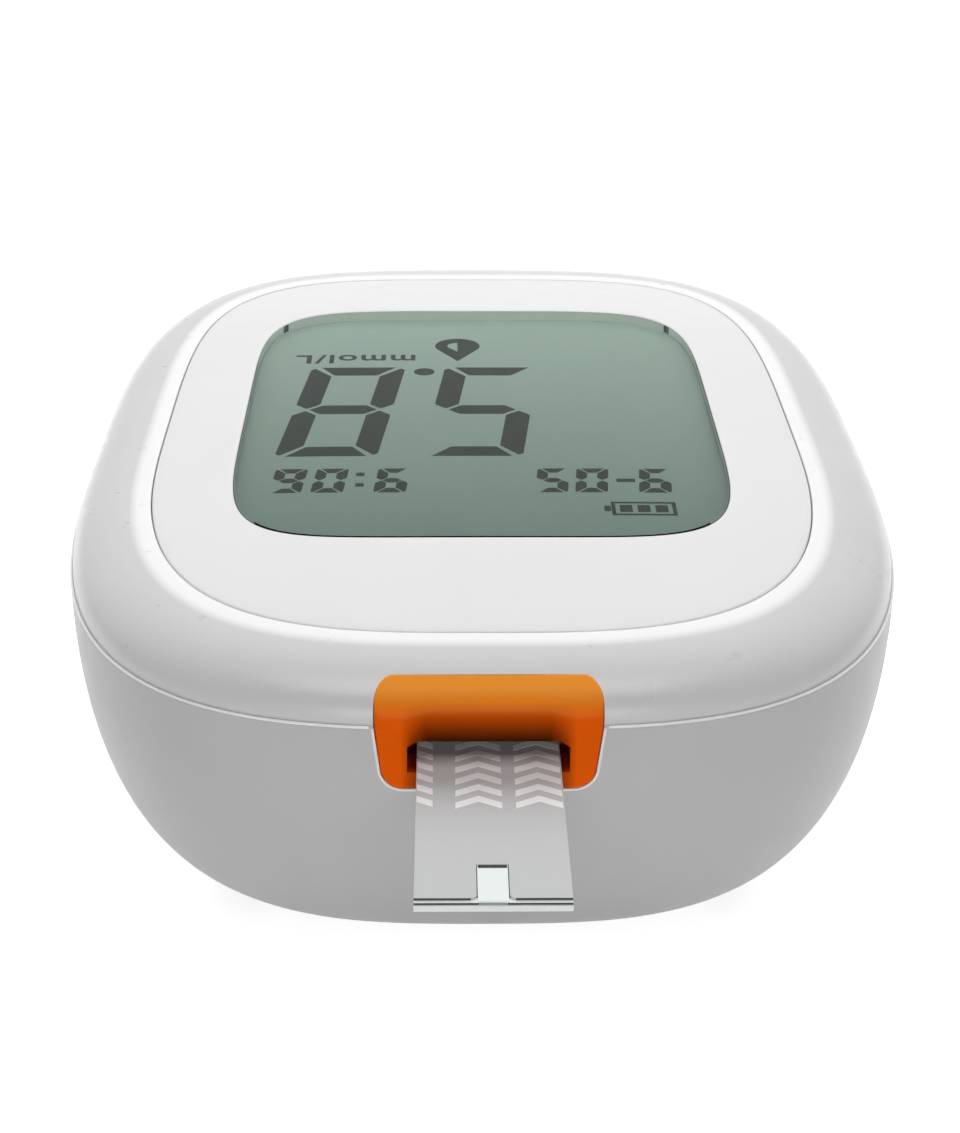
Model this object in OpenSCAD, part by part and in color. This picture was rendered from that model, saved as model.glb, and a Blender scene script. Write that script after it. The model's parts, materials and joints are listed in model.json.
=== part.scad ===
// Blood glucose meter with a test strip in its port.
// Millimetres. The origin is the middle of the underside, on the table.
// +Z is up, the strip leaves towards -Y, and +X is to the right of the port.

/* [Housing] */
// Width of the housing
body_w = 62; // [60:0.5:68]
// Length of the housing, from the strip end to the far end
body_l = 91.6; // [90:0.5:98]
// Height of the joint line between the two shells above the board
parting_rise = 4.8; // [4.6:0.1:6]
// Rise from the joint line to the rim of the face
rim_rise = 3.0; // [2.8:0.1:4]
// Squareness of the outline, 2 for an ellipse
outline_power = 3.14; // [3:0.02:3.6]
// How far the lower shell draws in from its widest line to its flat underside
bowl_inset = 8.9; // [8:0.1:10]
// Fullness of the lower shell's side, 2 for a quarter ellipse
bowl_power = 2.22; // [2:0.02:2.6]
// Fullness of the upper shell's shoulder, 2 for a quarter ellipse
shoulder_power = 2.32; // [2:0.02:2.8]
// Side wall of both shells
wall = 1.8; // [1.5:0.05:2]
// Floor of the lower shell
floor_t = 1.8; // [1.7:0.05:2]
// Broken edge on both sides of the joint line
edge_break = 0.15; // [0.1:0.05:0.3]
// Depth of the upper shell's locating lip
lip_depth = 1.0; // [0.6:0.1:1.1]
// Thickness of the locating lip
lip_t = 1.0; // [0.8:0.1:1.4]
// Clearance between a fixed piece and the pocket that it sits in
seat_gap = 0.15; // [0.1:0.05:0.25]
// Clearance round the display lens
lens_gap = 0.05; // [0.03:0.01:0.1]
// Clearance between a moving piece and the housing
slide_gap = 0.2; // [0.15:0.05:0.3]

/* [Face] */
// Distance from the widest line to the panel at each side
face_border_x = 5.95; // [5:0.05:7]
// Distance from the widest line to the panel at each end
face_border_y = 7.65; // [6.5:0.05:8.5]
// Thickness of the face panel at its edge
panel_t = 1.0; // [0.8:0.05:1.2]
// Rise of the panel's middle above its edge
panel_crown = 0.9; // [0.4:0.05:1.4]
// Distance from the panel's edge to the display window at each side
window_border_x = 6.15; // [5.5:0.05:7]
// Distance from the panel's edge to the display window at each end, before its shift
window_border_y = 12.7; // [12:0.1:14]
// Shift of the display window towards the far end
window_y = 1.2; // [0.5:0.1:1.8]
// Squareness of the display window
window_power = 5.6; // [5:0.1:7]

/* [Display] */
// How far the display glass reaches past the window at each side
glass_border_x = 2.1; // [1.6:0.1:2.3]
// How far the front glass reaches past the window at each end, before its shift
glass_border_y = 2.05; // [1.8:0.05:2.3]
// Shift of the glass against the window, towards the far end
glass_shift = 1.4; // [1.3:0.05:1.6]
// Thickness of each glass plate
lcd_glass_t = 0.7; // [0.5:0.05:0.8]
// Thickness of the front film and of the back film
lcd_film_t = 0.2; // [0.15:0.05:0.25]
// Gap between the face panel and the display
lcd_gap = 0.15; // [0.1:0.05:0.3]
// Length of the front glass that reaches past the back glass
ledge_l = 2.6; // [2.4:0.1:3]
// Wall of the display frame
frame_t = 1.0; // [0.8:0.05:1.1]
// Width of the frame's inner ledge
frame_ledge = 1.5; // [1:0.1:2]
// Thickness of the frame's inner ledge
frame_ledge_t = 1.0; // [0.8:0.1:1.5]

/* [Board] */
// Gap between the battery bay's roof and the board
board_lift = 0.2; // [0.1:0.05:0.5]
// Thickness of the board
board_t = 1.2; // [1:0.05:1.2]
// Clearance between the board's edge and the wall
board_gap = 1.2; // [1:0.1:1.6]
// Distance of the board screws from the widest line
board_screw_inset = 6.2; // [5.9:0.1:6.5]
// Along the board screws
board_screw_dy = 30; // [24:1:32]
// Radius of a board post
board_post_r = 2.2; // [1.8:0.1:2.4]
// Radius of a board screw's shank
board_screw_r = 0.8; // [0.7:0.05:0.9]

/* [Housing screws] */
// Distance of the housing screws from the door's curved end
screw_gap = 3.0; // [2.8:0.1:3.2]
// Clearance between the screw bosses and the display frame
boss_gap = 0.25; // [0.2:0.05:0.5]
// Radius of a screw's shank
screw_r = 1.1; // [0.9:0.05:1.2]
// Radius of a screw's head
screw_head_r = 1.95; // [1.8:0.05:2]
// Height of a screw's head
screw_head_t = 1.4; // [1.2:0.1:1.8]
// Height of the seat of the screw heads
screw_seat_z = 7; // [6:0.5:9]
// Depth of the joint between a boss and its pillar below the joint line
screw_split = 2.8; // [2.5:0.1:3.2]
// Outer radius of a screw boss
boss_r = 3.0; // [2.9:0.05:3.1]
// Outer radius of an upper shell's pillar
pillar_r = 2.2; // [2:0.05:2.3]

/* [Strip port] */
// Width of the port's cheek on each side of its mouth
port_cheek = 2.1; // [1.8:0.05:2.6]
// Depth of the port's lower edge below the joint line
port_drop = 4.55; // [4.2:0.05:4.7]
// Draw-in of each side of the port below the joint line
port_taper = 0.35; // [0:0.05:0.6]
// Corner radius at the port's lower edge
port_corner = 1.5; // [1:0.1:1.7]
// Corner radius at the port's upper edge, seen from above
port_top_corner = 1.6; // [1:0.1:3]
// Distance of the port's upper edge from the end of the housing
port_reach = 2.6; // [2.4:0.1:3]
// How far the port stands proud of the shells
port_proud = 0.12; // [0.05:0.01:0.3]
// Widening of the port's mouth beside the slot
mouth_side = 0.4; // [0.3:0.05:0.7]
// Rise of the hooded mouth above the joint line
hood_rise = 1.4; // [1:0.1:1.6]
// Recess of the hood behind the end of the housing, at its lower edge
hood_recess = 1.7; // [1.4:0.1:1.9]

/* [Test strip] */
// Width of the strip
strip_w = 9.2; // [8.6:0.1:9.3]
// Length of the strip that shows outside the housing
strip_out = 16.4; // [15.5:0.1:17.5]
// Distance from the strip's inner end to the display frame
strip_gap = 3.15; // [2.9:0.05:4]
// Height of the strip's upper face above the board
strip_rise = 2.4; // [2.3:0.05:2.5]
// Thickness of the base film
base_t = 0.35; // [0.3:0.01:0.4]
// Thickness of the spacer layer
spacer_t = 0.12; // [0.1:0.01:0.15]
// Thickness of the cover film
cover_t = 0.13; // [0.1:0.01:0.15]
// Width of the clear window over the sample channel
sample_w = 1.9; // [1.4:0.1:2.4]
// Length of the clear window
sample_l = 4.1; // [3:0.1:5]
// Length of bare contacts at the strip's inner end
contact_l = 7; // [6.5:0.1:7.5]

/* [Strip socket] */
// Wall of the socket beside the slot
socket_wall = 1.8; // [1.4:0.1:2.2]
// Number of spring contacts
contact_count = 5; // [3:1:6]
// Distance between spring contacts
contact_pitch = 1.7; // [1.4:0.05:1.75]
// Width of a spring contact
contact_w = 0.6; // [0.4:0.05:0.7]
// Thickness of a spring contact
contact_t = 0.2; // [0.15:0.05:0.25]

/* [Main button] */
// Width of the button
button_w = 13.5; // [10:0.5:16]
// Height of the button
button_h = 4.2; // [3.6:0.1:4.4]
// Depth of the button's middle below the joint line
button_drop = 4.2; // [4.0:0.1:4.5]
// How far the button stands out of the far end
button_proud = 0.6; // [0.55:0.05:1]
// Border of the flange that keeps the button in
button_flange = 0.8; // [0.5:0.05:0.9]
// Travel of the button
button_travel = 0.5; // [0.3:0.05:0.5]

/* [Set key] */
// Radius of the set key
key_r = 2.0; // [1.5:0.1:2.4]
// Offset of the set key from the middle plane
key_x = 9; // [8:0.5:10]
// Distance of the set key and of the sounder from the battery bay
key_gap = 9.6; // [8:0.1:11]
// Recess of the key's face in the underside
key_recess = 0.4; // [0.1:0.1:0.6]
// Travel of the set key
key_travel = 0.5; // [0.3:0.05:0.5]

/* [Sounder] */
// Radius of the sounder
buzzer_r = 4.8; // [4:0.1:5]
// Height of the sounder
buzzer_h = 4.2; // [3:0.1:5]
// Radius of a sound hole
sound_hole_r = 0.5; // [0.4:0.05:0.6]
// Radius of the ring of sound holes
sound_ring_r = 2.4; // [1.8:0.1:3]
// Number of sound holes in the ring
sound_holes = 6; // [5:1:8]

/* [Batteries] */
// Diameter of a cell
cell_d = 10.5; // [10.3:0.05:10.5]
// Length of a cell with its nipple
cell_l = 44.5; // [44:0.1:44.7]
// Gap between the two cells
cell_gap = 0.5; // [0.3:0.05:0.7]
// Length left for a contact spring
spring_l = 4.9; // [4.5:0.1:5]
// Wire diameter of a contact spring
spring_wire = 0.5; // [0.4:0.05:0.6]
// Turns of a contact spring
spring_turns = 3; // [2:1:3]
// Distance from the battery bay to the far end of the housing
bay_inset = 8.8; // [8.4:0.1:9.5]
// Thickness of the bay's walls
bay_t = 1.2; // [1:0.1:1.3]
// Thickness of the bay's roof
bay_roof_t = 0.7; // [0.6:0.05:0.7]

/* [Battery door] */
// How far the door's plate laps over the bay's opening at each side
door_lap = 0.9; // [0.7:0.05:1.1]
// Width of the rails on the door's sides
door_rail = 1.3; // [1.1:0.1:1.4]
// Thickness of a rail
door_rail_t = 0.8; // [0.6:0.05:0.8]
// How far the door's curved end reaches past its plate at each side
door_end_side = 1.9; // [1.7:0.05:2.1]
// Height of the top of the curved end above the underside
door_end_h = 5.6; // [5:0.1:6.5]
// Number of grip ridges
grip_count = 5; // [3:1:7]
// Distance between grip ridges
grip_pitch = 1.6; // [1.4:0.1:2]
// Width of the grip ridges
grip_w = 12; // [8:0.5:16]
// Depth of the grooves between the ridges
grip_depth = 0.35; // [0.2:0.05:0.5]
// Place of the first groove from the middle
grip_y = 4; // [0:1:12]

/* [Feet] */
// Radius of a foot
foot_r = 2.8; // [2.2:0.1:2.8]
// Thickness of a foot
foot_t = 1.2; // [0.9:0.05:1.3]
// How far a foot stands below the underside
foot_proud = 0.4; // [0.3:0.05:0.5]
// Gap between the feet and the door's rails
foot_gap = 1.0; // [0.7:0.1:1.4]
// Distance of the feet from the end edges of the flat underside
foot_inset_y = 11.7; // [10:0.1:14]

/* [Hidden] */

// Faces round an outline, and rings up the lower shell and the shoulder
outline_n = 72;
bowl_steps = 9;
shoulder_steps = 6;
crown_steps = 3;
round_fn = 48;
past = 0.5;
far_out = 20;

half_w = body_w / 2;
half_l = body_l / 2;
bowl_bottom = foot_proud;
floor_top = bowl_bottom + floor_t;

// Cells and their bay, which carry the heights of all that is above them
cell_pitch = cell_d + cell_gap;
cell_z = floor_top + 0.1;
cell_mid_z = cell_z + cell_d / 2;
nipple_l = 0.8;
bay_w = cell_pitch + cell_d + 0.9;
bay_plate_t = 0.4;
bay_l = cell_l + spring_l + 2 * bay_plate_t;
bay_far = half_l - bay_inset;
bay_near = bay_far - bay_l;
bay_top = cell_z + cell_d + 0.1;

board_bottom = bay_top + bay_roof_t + board_lift;
board_top = board_bottom + board_t;
parting_h = board_top + parting_rise;
rim_h = parting_h + rim_rise;

// Face panel and its window
panel_w = body_w - 2 * face_border_x;
panel_l = body_l - 2 * face_border_y;
window_w = panel_w - 2 * window_border_x;
window_l = panel_l - 2 * window_border_y;
face_bottom = rim_h - panel_t;

// Display stack, from the top down
lcd_w = window_w + 2 * glass_border_x;
lcd_l = window_l + 2 * glass_border_y;
lcd_y = window_y + glass_shift;
film_top = face_bottom - lcd_gap;
front_top = film_top - lcd_film_t;
back_top = front_top - lcd_glass_t;
back_bottom = back_top - lcd_glass_t;
lcd_bottom = back_bottom - lcd_film_t;
lcd_near = lcd_y - lcd_l / 2;
lcd_far = lcd_y + lcd_l / 2;
frame_in_w = lcd_w + 2 * seat_gap;
frame_in_l = lcd_l + 2 * seat_gap;
frame_w = frame_in_w + 2 * frame_t;
frame_l = frame_in_l + 2 * frame_t;
frame_top = front_top - lcd_glass_t / 2;

// Battery door
door_w = bay_w + 2 * door_lap;
door_end_w = door_w + 2 * door_end_side;
door_end_top = bowl_bottom + door_end_h;
door_top = cell_z - 0.3;
door_near = bay_near - slide_gap;
rail_bottom = door_top - door_rail_t;
door_end_y = bay_far - 0.4;

// Screws and feet
screw_dx = door_end_w + 2 * screw_gap;
screw_dy = 2 * (lcd_y + frame_l / 2 + boss_gap + boss_r);
screw_split_z = parting_h - screw_split;
board_screw_dx = body_w - 2 * board_screw_inset;
board_screw_l = 5;
board_head_r = 1.5;
board_head_t = 0.9;
foot_dx = door_w + 2 * (door_rail + foot_gap + foot_r);
foot_dy = body_l - 2 * (bowl_inset + foot_inset_y);

// Strip, port and socket
strip_top = board_top + strip_rise;
base_bottom = strip_top - cover_t - spacer_t - base_t;
strip_end = -half_l - strip_out;
strip_inner = lcd_y - frame_l / 2 - strip_gap;
slot_gap = 0.2;
slot_w = strip_w + 2 * slot_gap;
slot_bottom = base_bottom - slot_gap;
slot_top = strip_top + slot_gap;
mouth_w = slot_w + 2 * mouth_side;
hood_top = parting_h + hood_rise;
port_w = mouth_w + 2 * port_cheek;
port_bottom = parting_h - port_drop;
port_back = -half_l + port_reach;
port_flange_w = port_w + 3;
port_flange_y = -half_l + wall + 0.8;
port_flange_t = 0.8;
socket_w = slot_w + 2 * socket_wall;
socket_front = port_back + 1.3;
socket_back = strip_inner + slot_gap + 0.4;
socket_top = parting_h - 0.4;
contact_rise = 0.32;

// Main button and its switch
button_z = parting_h - button_drop;
button_face = half_l + button_proud;
button_flange_w = button_w + 2 * button_flange;
flange_y = half_l - wall - 0.9;
flange_t = 0.9;
plunger_z = button_z + 1.1;
plunger_r = 0.9;
plunger_fit = 0.06;
switch_w = 6.6;
switch_l = 3.4;
switch_y = flange_y - flange_t - button_travel - 0.5;

// Set key and its switch
key_y = bay_near - bay_t - key_gap;
key_face = bowl_bottom + key_recess;
key_flange_z = floor_top + 0.3;
set_switch_w = 5.2;
set_switch_h = 1.4;
set_switch_bottom = board_bottom - set_switch_h;
key_stem_r = 1.2;
plunger_len = key_travel + 0.3;

// Contact spring of a cell: radius at its plate and at the cell, sides and rings of its wire
spring_base_r = 3.6;
spring_tip_r = 2.2;
spring_sides = 6;
spring_rings_turn = 12;

// Packages on the board: place, size, pins along a side and their pitch
processor_at = [-5, 6];
processor_size = [9, 9, 1.5];
amplifier_at = [0, lcd_near + 5.4];
memory_at = [9, 8];
small_chip_size = [4, 5, 1.5];
crystal_at = [5, -4];
crystal_r = 1;
crystal_l = 6;
resistor_size = [1.6, 0.8, 0.6];
capacitor_size = [2, 1.2, 1];
part_pitch = 5;
part_row_y = amplifier_at.y + 9.5;
part_column_x = lcd_w / 2 - part_pitch;

function sgn_pow(v, p) = sign(v) * pow(abs(v), p);

// One closed ring of the squared oval outline
function ring(a, b, power, z, cy = 0) = [
    for (i = [0:outline_n - 1])
    let (t = 360 * i / outline_n)
    [a * sgn_pow(cos(t), 2 / power), cy + b * sgn_pow(sin(t), 2 / power), z]
];

// Ring of the housing's outline, drawn in by an inset
function body_ring(inset, z) = ring(half_w - inset, half_l - inset, outline_power, z);

// Draw-in and drop along the lower shell's side, for an angle of 0 at the joint line and 90 underneath
function bowl_in(a) = bowl_inset * (1 - pow(cos(a), 2 / bowl_power));
function bowl_drop(a) = pow(sin(a), 2 / bowl_power);

// Rings of the lower shell's outside, from its underside up
function bowl_rings(grow) = [
    for (j = [bowl_steps:-1:0])
    let (a = 90 * j / bowl_steps)
    body_ring(bowl_in(a) - grow, parting_h - edge_break - (parting_h - edge_break - bowl_bottom) * bowl_drop(a))
];

// Rings of the lower shell's inside, from the joint line down
function cavity_rings() = [
    for (j = [0:bowl_steps])
    let (a = 90 * j / bowl_steps)
    body_ring(wall + bowl_in(a), parting_h - (parting_h - floor_top) * bowl_drop(a))
];

// Ring between the housing's outline and the seat of the face panel
function shoulder_ring(u, z, grow) = ring(
    half_w + grow + (panel_w / 2 + seat_gap - half_w) * u,
    half_l + grow + (panel_l / 2 + seat_gap - half_l) * u,
    outline_power, z
);

// Rings of the upper shell's shoulder, from the joint line up to the rim
function shoulder_rings(grow) = [
    for (j = [0:shoulder_steps])
    let (a = 90 * j / shoulder_steps)
    shoulder_ring(
        1 - pow(cos(a), 2 / shoulder_power),
        parting_h + edge_break + (rim_rise - edge_break) * pow(sin(a), 2 / shoulder_power),
        grow
    )
];

// Height of the crowned face at a point
function crown_z(x, y) =
    let (across = pow(abs(2 * x / panel_w), outline_power), along = pow(abs(2 * y / panel_l), outline_power))
    rim_h + panel_crown * (1 - across - along);

function on_crown(r) = [for (p = r) [p.x, p.y, crown_z(p.x, p.y)]];

function window_ring(s, z, inset = 0) = ring(
    (window_w / 2 - inset) * s, (window_l / 2 - inset) * s, window_power, z, window_y
);

function between(r, q, u) = [for (i = [0:len(r) - 1]) r[i] * (1 - u) + q[i] * u];

// Solid through a list of rings, closed at both ends, or round onto itself
module loft(rings, closed = false) {
    n = len(rings[0]);
    m = len(rings);
    sides = [
        for (j = [0:m - (closed ? 1 : 2)], i = [0:n - 1])
        let (k = (j + 1) % m, l = (i + 1) % n)
        each [[j * n + i, k * n + i, k * n + l], [j * n + i, k * n + l, j * n + l]]
    ];
    ends = closed ? [] : [[for (i = [0:n - 1]) i], [for (i = [n - 1:-1:0]) (m - 1) * n + i]];
    polyhedron([for (r = rings) each r], concat(sides, ends));
}

// Box centred across X, from a low corner in Y and Z
module slab(w, y0, y1, z0, z1) {
    translate([-w / 2, y0, z0]) cube([w, y1 - y0, z1 - z0]);
}

module rod(r, z0, z1) {
    translate([0, 0, z0]) cylinder(r = r, h = z1 - z0, $fn = round_fn);
}

module at_corners(dx, dy) {
    for (x = [-dx / 2, dx / 2], y = [-dy / 2, dy / 2]) translate([x, y, 0]) children();
}

// Bar with round ends, centred on an axis along Y
module pill(w, h, y0, y1) {
    r = h / 2;
    translate([-w / 2 + r, y0, -r]) cube([w - h, y1 - y0, h]);
    for (x = [-w / 2 + r, w / 2 - r])
        translate([x, y1, 0]) rotate([90, 0, 0]) cylinder(r = r, h = y1 - y0, $fn = round_fn);
}

// Outer form of the closed housing
module housing_form(grow) {
    loft(concat(bowl_rings(grow), shoulder_rings(grow)));
}

// Front outline of the strip port, in X and Z
module port_outline(grow) {
    w = port_w / 2 + grow;
    low = w - port_taper;
    r = port_corner + grow;
    bottom = port_bottom - grow;
    right = [
        for (a = [-90:15:0]) [low - r + r * cos(a), bottom + r + r * sin(a)],
        [w, parting_h],
        [w, rim_h + past]
    ];
    left = [for (i = [len(right) - 1:-1:0]) [-right[i].x, right[i].y]];
    polygon(concat(right, left));
}

// Solid that bounds the port: its front outline and its rounded upper edge
module port_block(grow) {
    r = port_top_corner;
    w = port_w / 2 + grow;
    back = port_back + grow;
    intersection() {
        translate([0, back, 0]) rotate([90, 0, 0]) linear_extrude(far_out) port_outline(grow);
        union() {
            slab(2 * w, -half_l - far_out, back - r, port_bottom - 1, rim_h + 1);
            slab(2 * (w - r), back - r - past, back, port_bottom - 1, rim_h + 1);
            for (x = [-w + r, w - r]) translate([x, back - r, 0]) rod(r, port_bottom - 1, rim_h + 1);
            slab(2 * w, -half_l - far_out, back, port_bottom - 1, parting_h);
        }
    }
}

module top_shell() color("white") difference() {
    union() {
        loft(concat(
            [
                body_ring(wall + seat_gap + lip_t, parting_h),
                body_ring(wall + seat_gap + lip_t, parting_h - lip_depth),
                body_ring(wall + seat_gap, parting_h - lip_depth),
                body_ring(wall + seat_gap, parting_h),
                body_ring(edge_break, parting_h)
            ],
            shoulder_rings(0),
            [shoulder_ring(1, face_bottom, 0)]
        ));
        at_corners(screw_dx, screw_dy) rod(pillar_r, screw_split_z + seat_gap, parting_h + past);
    }
    frame_hole_l = frame_l + 2 * seat_gap;
    translate([0, lcd_y, 0])
        slab(frame_w + 2 * seat_gap, -frame_hole_l / 2, frame_hole_l / 2, parting_h - 2, face_bottom);
    port_block(seat_gap);
    slab(port_flange_w + 2 * seat_gap, -half_l, port_back + 1.5, port_bottom, parting_h);
    slab(button_flange_w + 2 * slide_gap, flange_y - flange_t - slide_gap, half_l, button_z, parting_h);
    at_corners(screw_dx, screw_dy) rod(screw_r - 0.1, screw_split_z - 1, parting_h + 0.9);
}

// Cuts in the lower shell for the battery door: plate, rails and curved end
module door_cut() {
    slab(door_w + 2 * slide_gap, door_near, half_l, -1, floor_top);
    slab(door_w + 2 * (door_rail + slide_gap), door_near, half_l, rail_bottom - slide_gap, floor_top);
    slab(door_end_w + 2 * slide_gap, door_end_y - slide_gap, half_l, -1, floor_top);
    slab(door_end_w + 2 * slide_gap, bay_far + bay_t, half_l, -1, door_end_top + slide_gap);
}

// Box that holds the two cells, open underneath
module battery_bay() {
    foot_w = door_w + 2 * (door_rail + slide_gap) + 2;
    difference() {
        union() {
            slab(bay_w + 2 * bay_t, bay_near - bay_t, bay_far + bay_t, floor_top, bay_top + bay_roof_t);
            slab(foot_w, bay_near - bay_t, bay_far + bay_t, floor_top, floor_top + 1);
            slab(door_end_w + 2, bay_far, bay_far + bay_t, floor_top, bay_top);
        }
        slab(bay_w, bay_near, bay_far, floor_top - 1, bay_top);
        for (x = [-cell_pitch / 2, cell_pitch / 2], y = [bay_near, bay_far - bay_plate_t])
            translate([x, 0, 0]) slab(2.4, y - 0.1, y + bay_plate_t + 0.1, bay_top - 1, bay_top + 1);
    }
}

module bottom_shell() color("gainsboro") difference() {
    union() {
        loft(concat(bowl_rings(0), [body_ring(edge_break, parting_h)], cavity_rings()));
        intersection() {
            union() {
                at_corners(screw_dx, screw_dy) rod(boss_r, bowl_bottom, screw_split_z);
                at_corners(board_screw_dx, board_screw_dy) rod(board_post_r, bowl_bottom, board_bottom);
            }
            loft(bowl_rings(-wall / 2));
        }
        battery_bay();
    }
    door_cut();
    at_corners(screw_dx, screw_dy) {
        rod(screw_head_r + 0.3, -1, screw_seat_z);
        rod(screw_r + 0.15, screw_seat_z - past, screw_split_z + past);
    }
    at_corners(board_screw_dx, board_screw_dy)
        rod(board_screw_r + 0.05, board_bottom - board_screw_l - 1, board_bottom + past);
    at_corners(foot_dx, foot_dy) rod(foot_r + 0.05, -1, foot_t);
    translate([key_x, key_y, 0]) rod(key_r + slide_gap, -1, floor_top + past);
    translate([-key_x, key_y, 0]) {
        rod(sound_hole_r, -1, floor_top + past);
        for (i = [1:sound_holes]) rotate(360 * i / sound_holes) translate([sound_ring_r, 0, 0])
            rod(sound_hole_r, -1, floor_top + past);
    }
    port_block(seat_gap);
    translate([0, 0, button_z])
        pill(button_w + 2 * slide_gap, button_h + 2 * slide_gap, half_l - 3, half_l + 2);
}

module face_panel() color("white") {
    edge = ring(panel_w / 2, panel_l / 2, outline_power, face_bottom);
    loft(concat(
        [edge, [for (p = edge) [p.x, p.y, rim_h]]],
        [for (j = [1:crown_steps]) on_crown(between(edge, window_ring(1, face_bottom), j / crown_steps))],
        [window_ring(1, face_bottom)]
    ), closed = true);
}

module display_lens() color("lightblue", 0.4) {
    small = 0.05;
    loft(concat(
        [window_ring(1, face_bottom, lens_gap)],
        [for (j = [0:crown_steps]) on_crown(window_ring(1 - j / (crown_steps + 1), 0, lens_gap))],
        [window_ring(small, crown_z(0, window_y))]
    ));
}

module strip_port() color("darkorange") difference() {
    union() {
        intersection() {
            port_block(0);
            housing_form(port_proud);
        }
        slab(
            port_flange_w, port_flange_y, port_flange_y + port_flange_t,
            board_top + 0.1, parting_h - lip_depth - 0.2
        );
        slab(slot_w + 2.4, port_back - past, socket_front - 0.1, slot_bottom - 0.8, slot_top + 0.8);
    }
    hooded_mouth();
    slab(slot_w, -half_l - 1, socket_front, slot_bottom, slot_top);
}

// The mouth: a floor level with the slot, and a hood that slopes back down to it
module hooded_mouth() {
    hood_y = -half_l + hood_recess;
    translate([-mouth_w / 2, 0, 0]) rotate([90, 0, 90]) linear_extrude(mouth_w) polygon([
        [-half_l - 5, slot_bottom],
        [port_back - 0.6, slot_bottom],
        [port_back - 0.6, slot_top + 0.2],
        [hood_y, slot_top + 0.7],
        [-half_l + 0.55, hood_top],
        [-half_l - 5, hood_top + 1]
    ]);
}

// One layer of the display, over the whole length of the front glass or short of its ledge
module lcd_layer(z0, z1, ledge = 0) {
    slab(lcd_w, lcd_near, lcd_far - ledge, z0, z1);
}

module lcd_polarizer() color("darkseagreen") lcd_layer(front_top, film_top, ledge_l);

module lcd_front() color("lightsteelblue") lcd_layer(back_top, front_top);

module lcd_back() color("lightsteelblue") lcd_layer(back_bottom, back_top, ledge_l);

module lcd_reflector() color("silver") lcd_layer(lcd_bottom, back_bottom, ledge_l);

module lcd_frame() color("whitesmoke") translate([0, lcd_y, 0]) difference() {
    slab(frame_w, -frame_l / 2, frame_l / 2, board_top, frame_top);
    slab(frame_in_w, -frame_in_l / 2, frame_in_l / 2, lcd_bottom, frame_top + 1);
    slab(frame_in_w, -frame_in_l / 2, frame_in_l / 2, board_top - 1, lcd_bottom - frame_ledge_t);
    slab(
        frame_in_w - 2 * frame_ledge, -frame_in_l / 2 + frame_ledge, lcd_l / 2 - ledge_l - frame_ledge,
        board_top - 1, frame_top + 1
    );
    slab(frame_in_w - 2 * frame_ledge, lcd_l / 2 - ledge_l, frame_in_l / 2, board_top - 1, frame_top + 1);
    for (y = [-lcd_l / 4.5, lcd_l / 4.5]) slab(frame_w + 2, y - 3, y + 3, board_top - 1, board_top + 1.5);
}

module zebra_strip() color("dimgray")
    slab(lcd_w - 2 * frame_ledge - 1, lcd_far - ledge_l + 0.5, lcd_far - 0.5, board_top, back_top);

module main_board() color("seagreen") difference() {
    inset = wall + board_gap;
    translate([0, 0, board_bottom]) linear_extrude(board_t)
        polygon([for (p = body_ring(inset, 0)) [p.x, p.y]]);
    at_corners(screw_dx, screw_dy) rod(boss_r + 0.3, board_bottom - 1, board_top + 1);
    at_corners(board_screw_dx, board_screw_dy) rod(board_screw_r + 0.15, board_bottom - 1, board_top + 1);
    slab(button_flange_w + 1, switch_y + 0.1, half_l, board_bottom - 1, board_top + 1);
}

// Flat package on the board, with pins along two sides
module chip(at, size, pins, pitch) translate([at.x, at.y, board_top]) {
    pin_w = pitch / 2;
    translate([-size.x / 2, -size.y / 2, 0.1]) cube([size.x, size.y, size.z - 0.1]);
    for (i = [0:pins - 1], s = [-1, 1])
        translate([s * (size.x / 2 + 0.4) - 0.5, (i - (pins - 1) / 2) * pitch - pin_w / 2, 0])
            cube([1, pin_w, 0.3]);
}

module processor_chip() color("#222222") chip(processor_at, processor_size, 9, 0.9);

module amplifier_chip() color("#222222") chip(amplifier_at, small_chip_size, 4, 1.2);

module memory_chip() color("#222222") chip(memory_at, small_chip_size, 4, 1.2);

module clock_crystal() color("silver") translate([crystal_at.x, crystal_at.y, board_top + crystal_r])
    rotate([0, 90, 0]) cylinder(r = crystal_r, h = crystal_l, $fn = round_fn);

// Rows of small resistors and capacitors
module board_parts() color("tan") {
    for (i = [-3:3]) translate([part_pitch * i, part_row_y, board_top]) cube(resistor_size);
    for (i = [-1:2]) translate([-part_column_x, part_pitch * i, board_top]) cube(capacitor_size);
    for (i = [-1:2]) translate([part_column_x - capacitor_size.x, part_pitch * i, board_top])
        cube(capacitor_size);
}

module contact_places() {
    for (i = [0:contact_count - 1]) translate([(i - (contact_count - 1) / 2) * contact_pitch, 0, 0]) children();
}

module strip_connector() color("ivory") difference() {
    slab(socket_w, socket_front, socket_back, board_top, socket_top);
    slab(slot_w, socket_front - 1, strip_inner + slot_gap, slot_bottom, slot_top);
    contact_places()
        slab(contact_w + 0.3, strip_inner - contact_l, socket_back + 1, slot_top - past, socket_top + 1);
}

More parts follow.
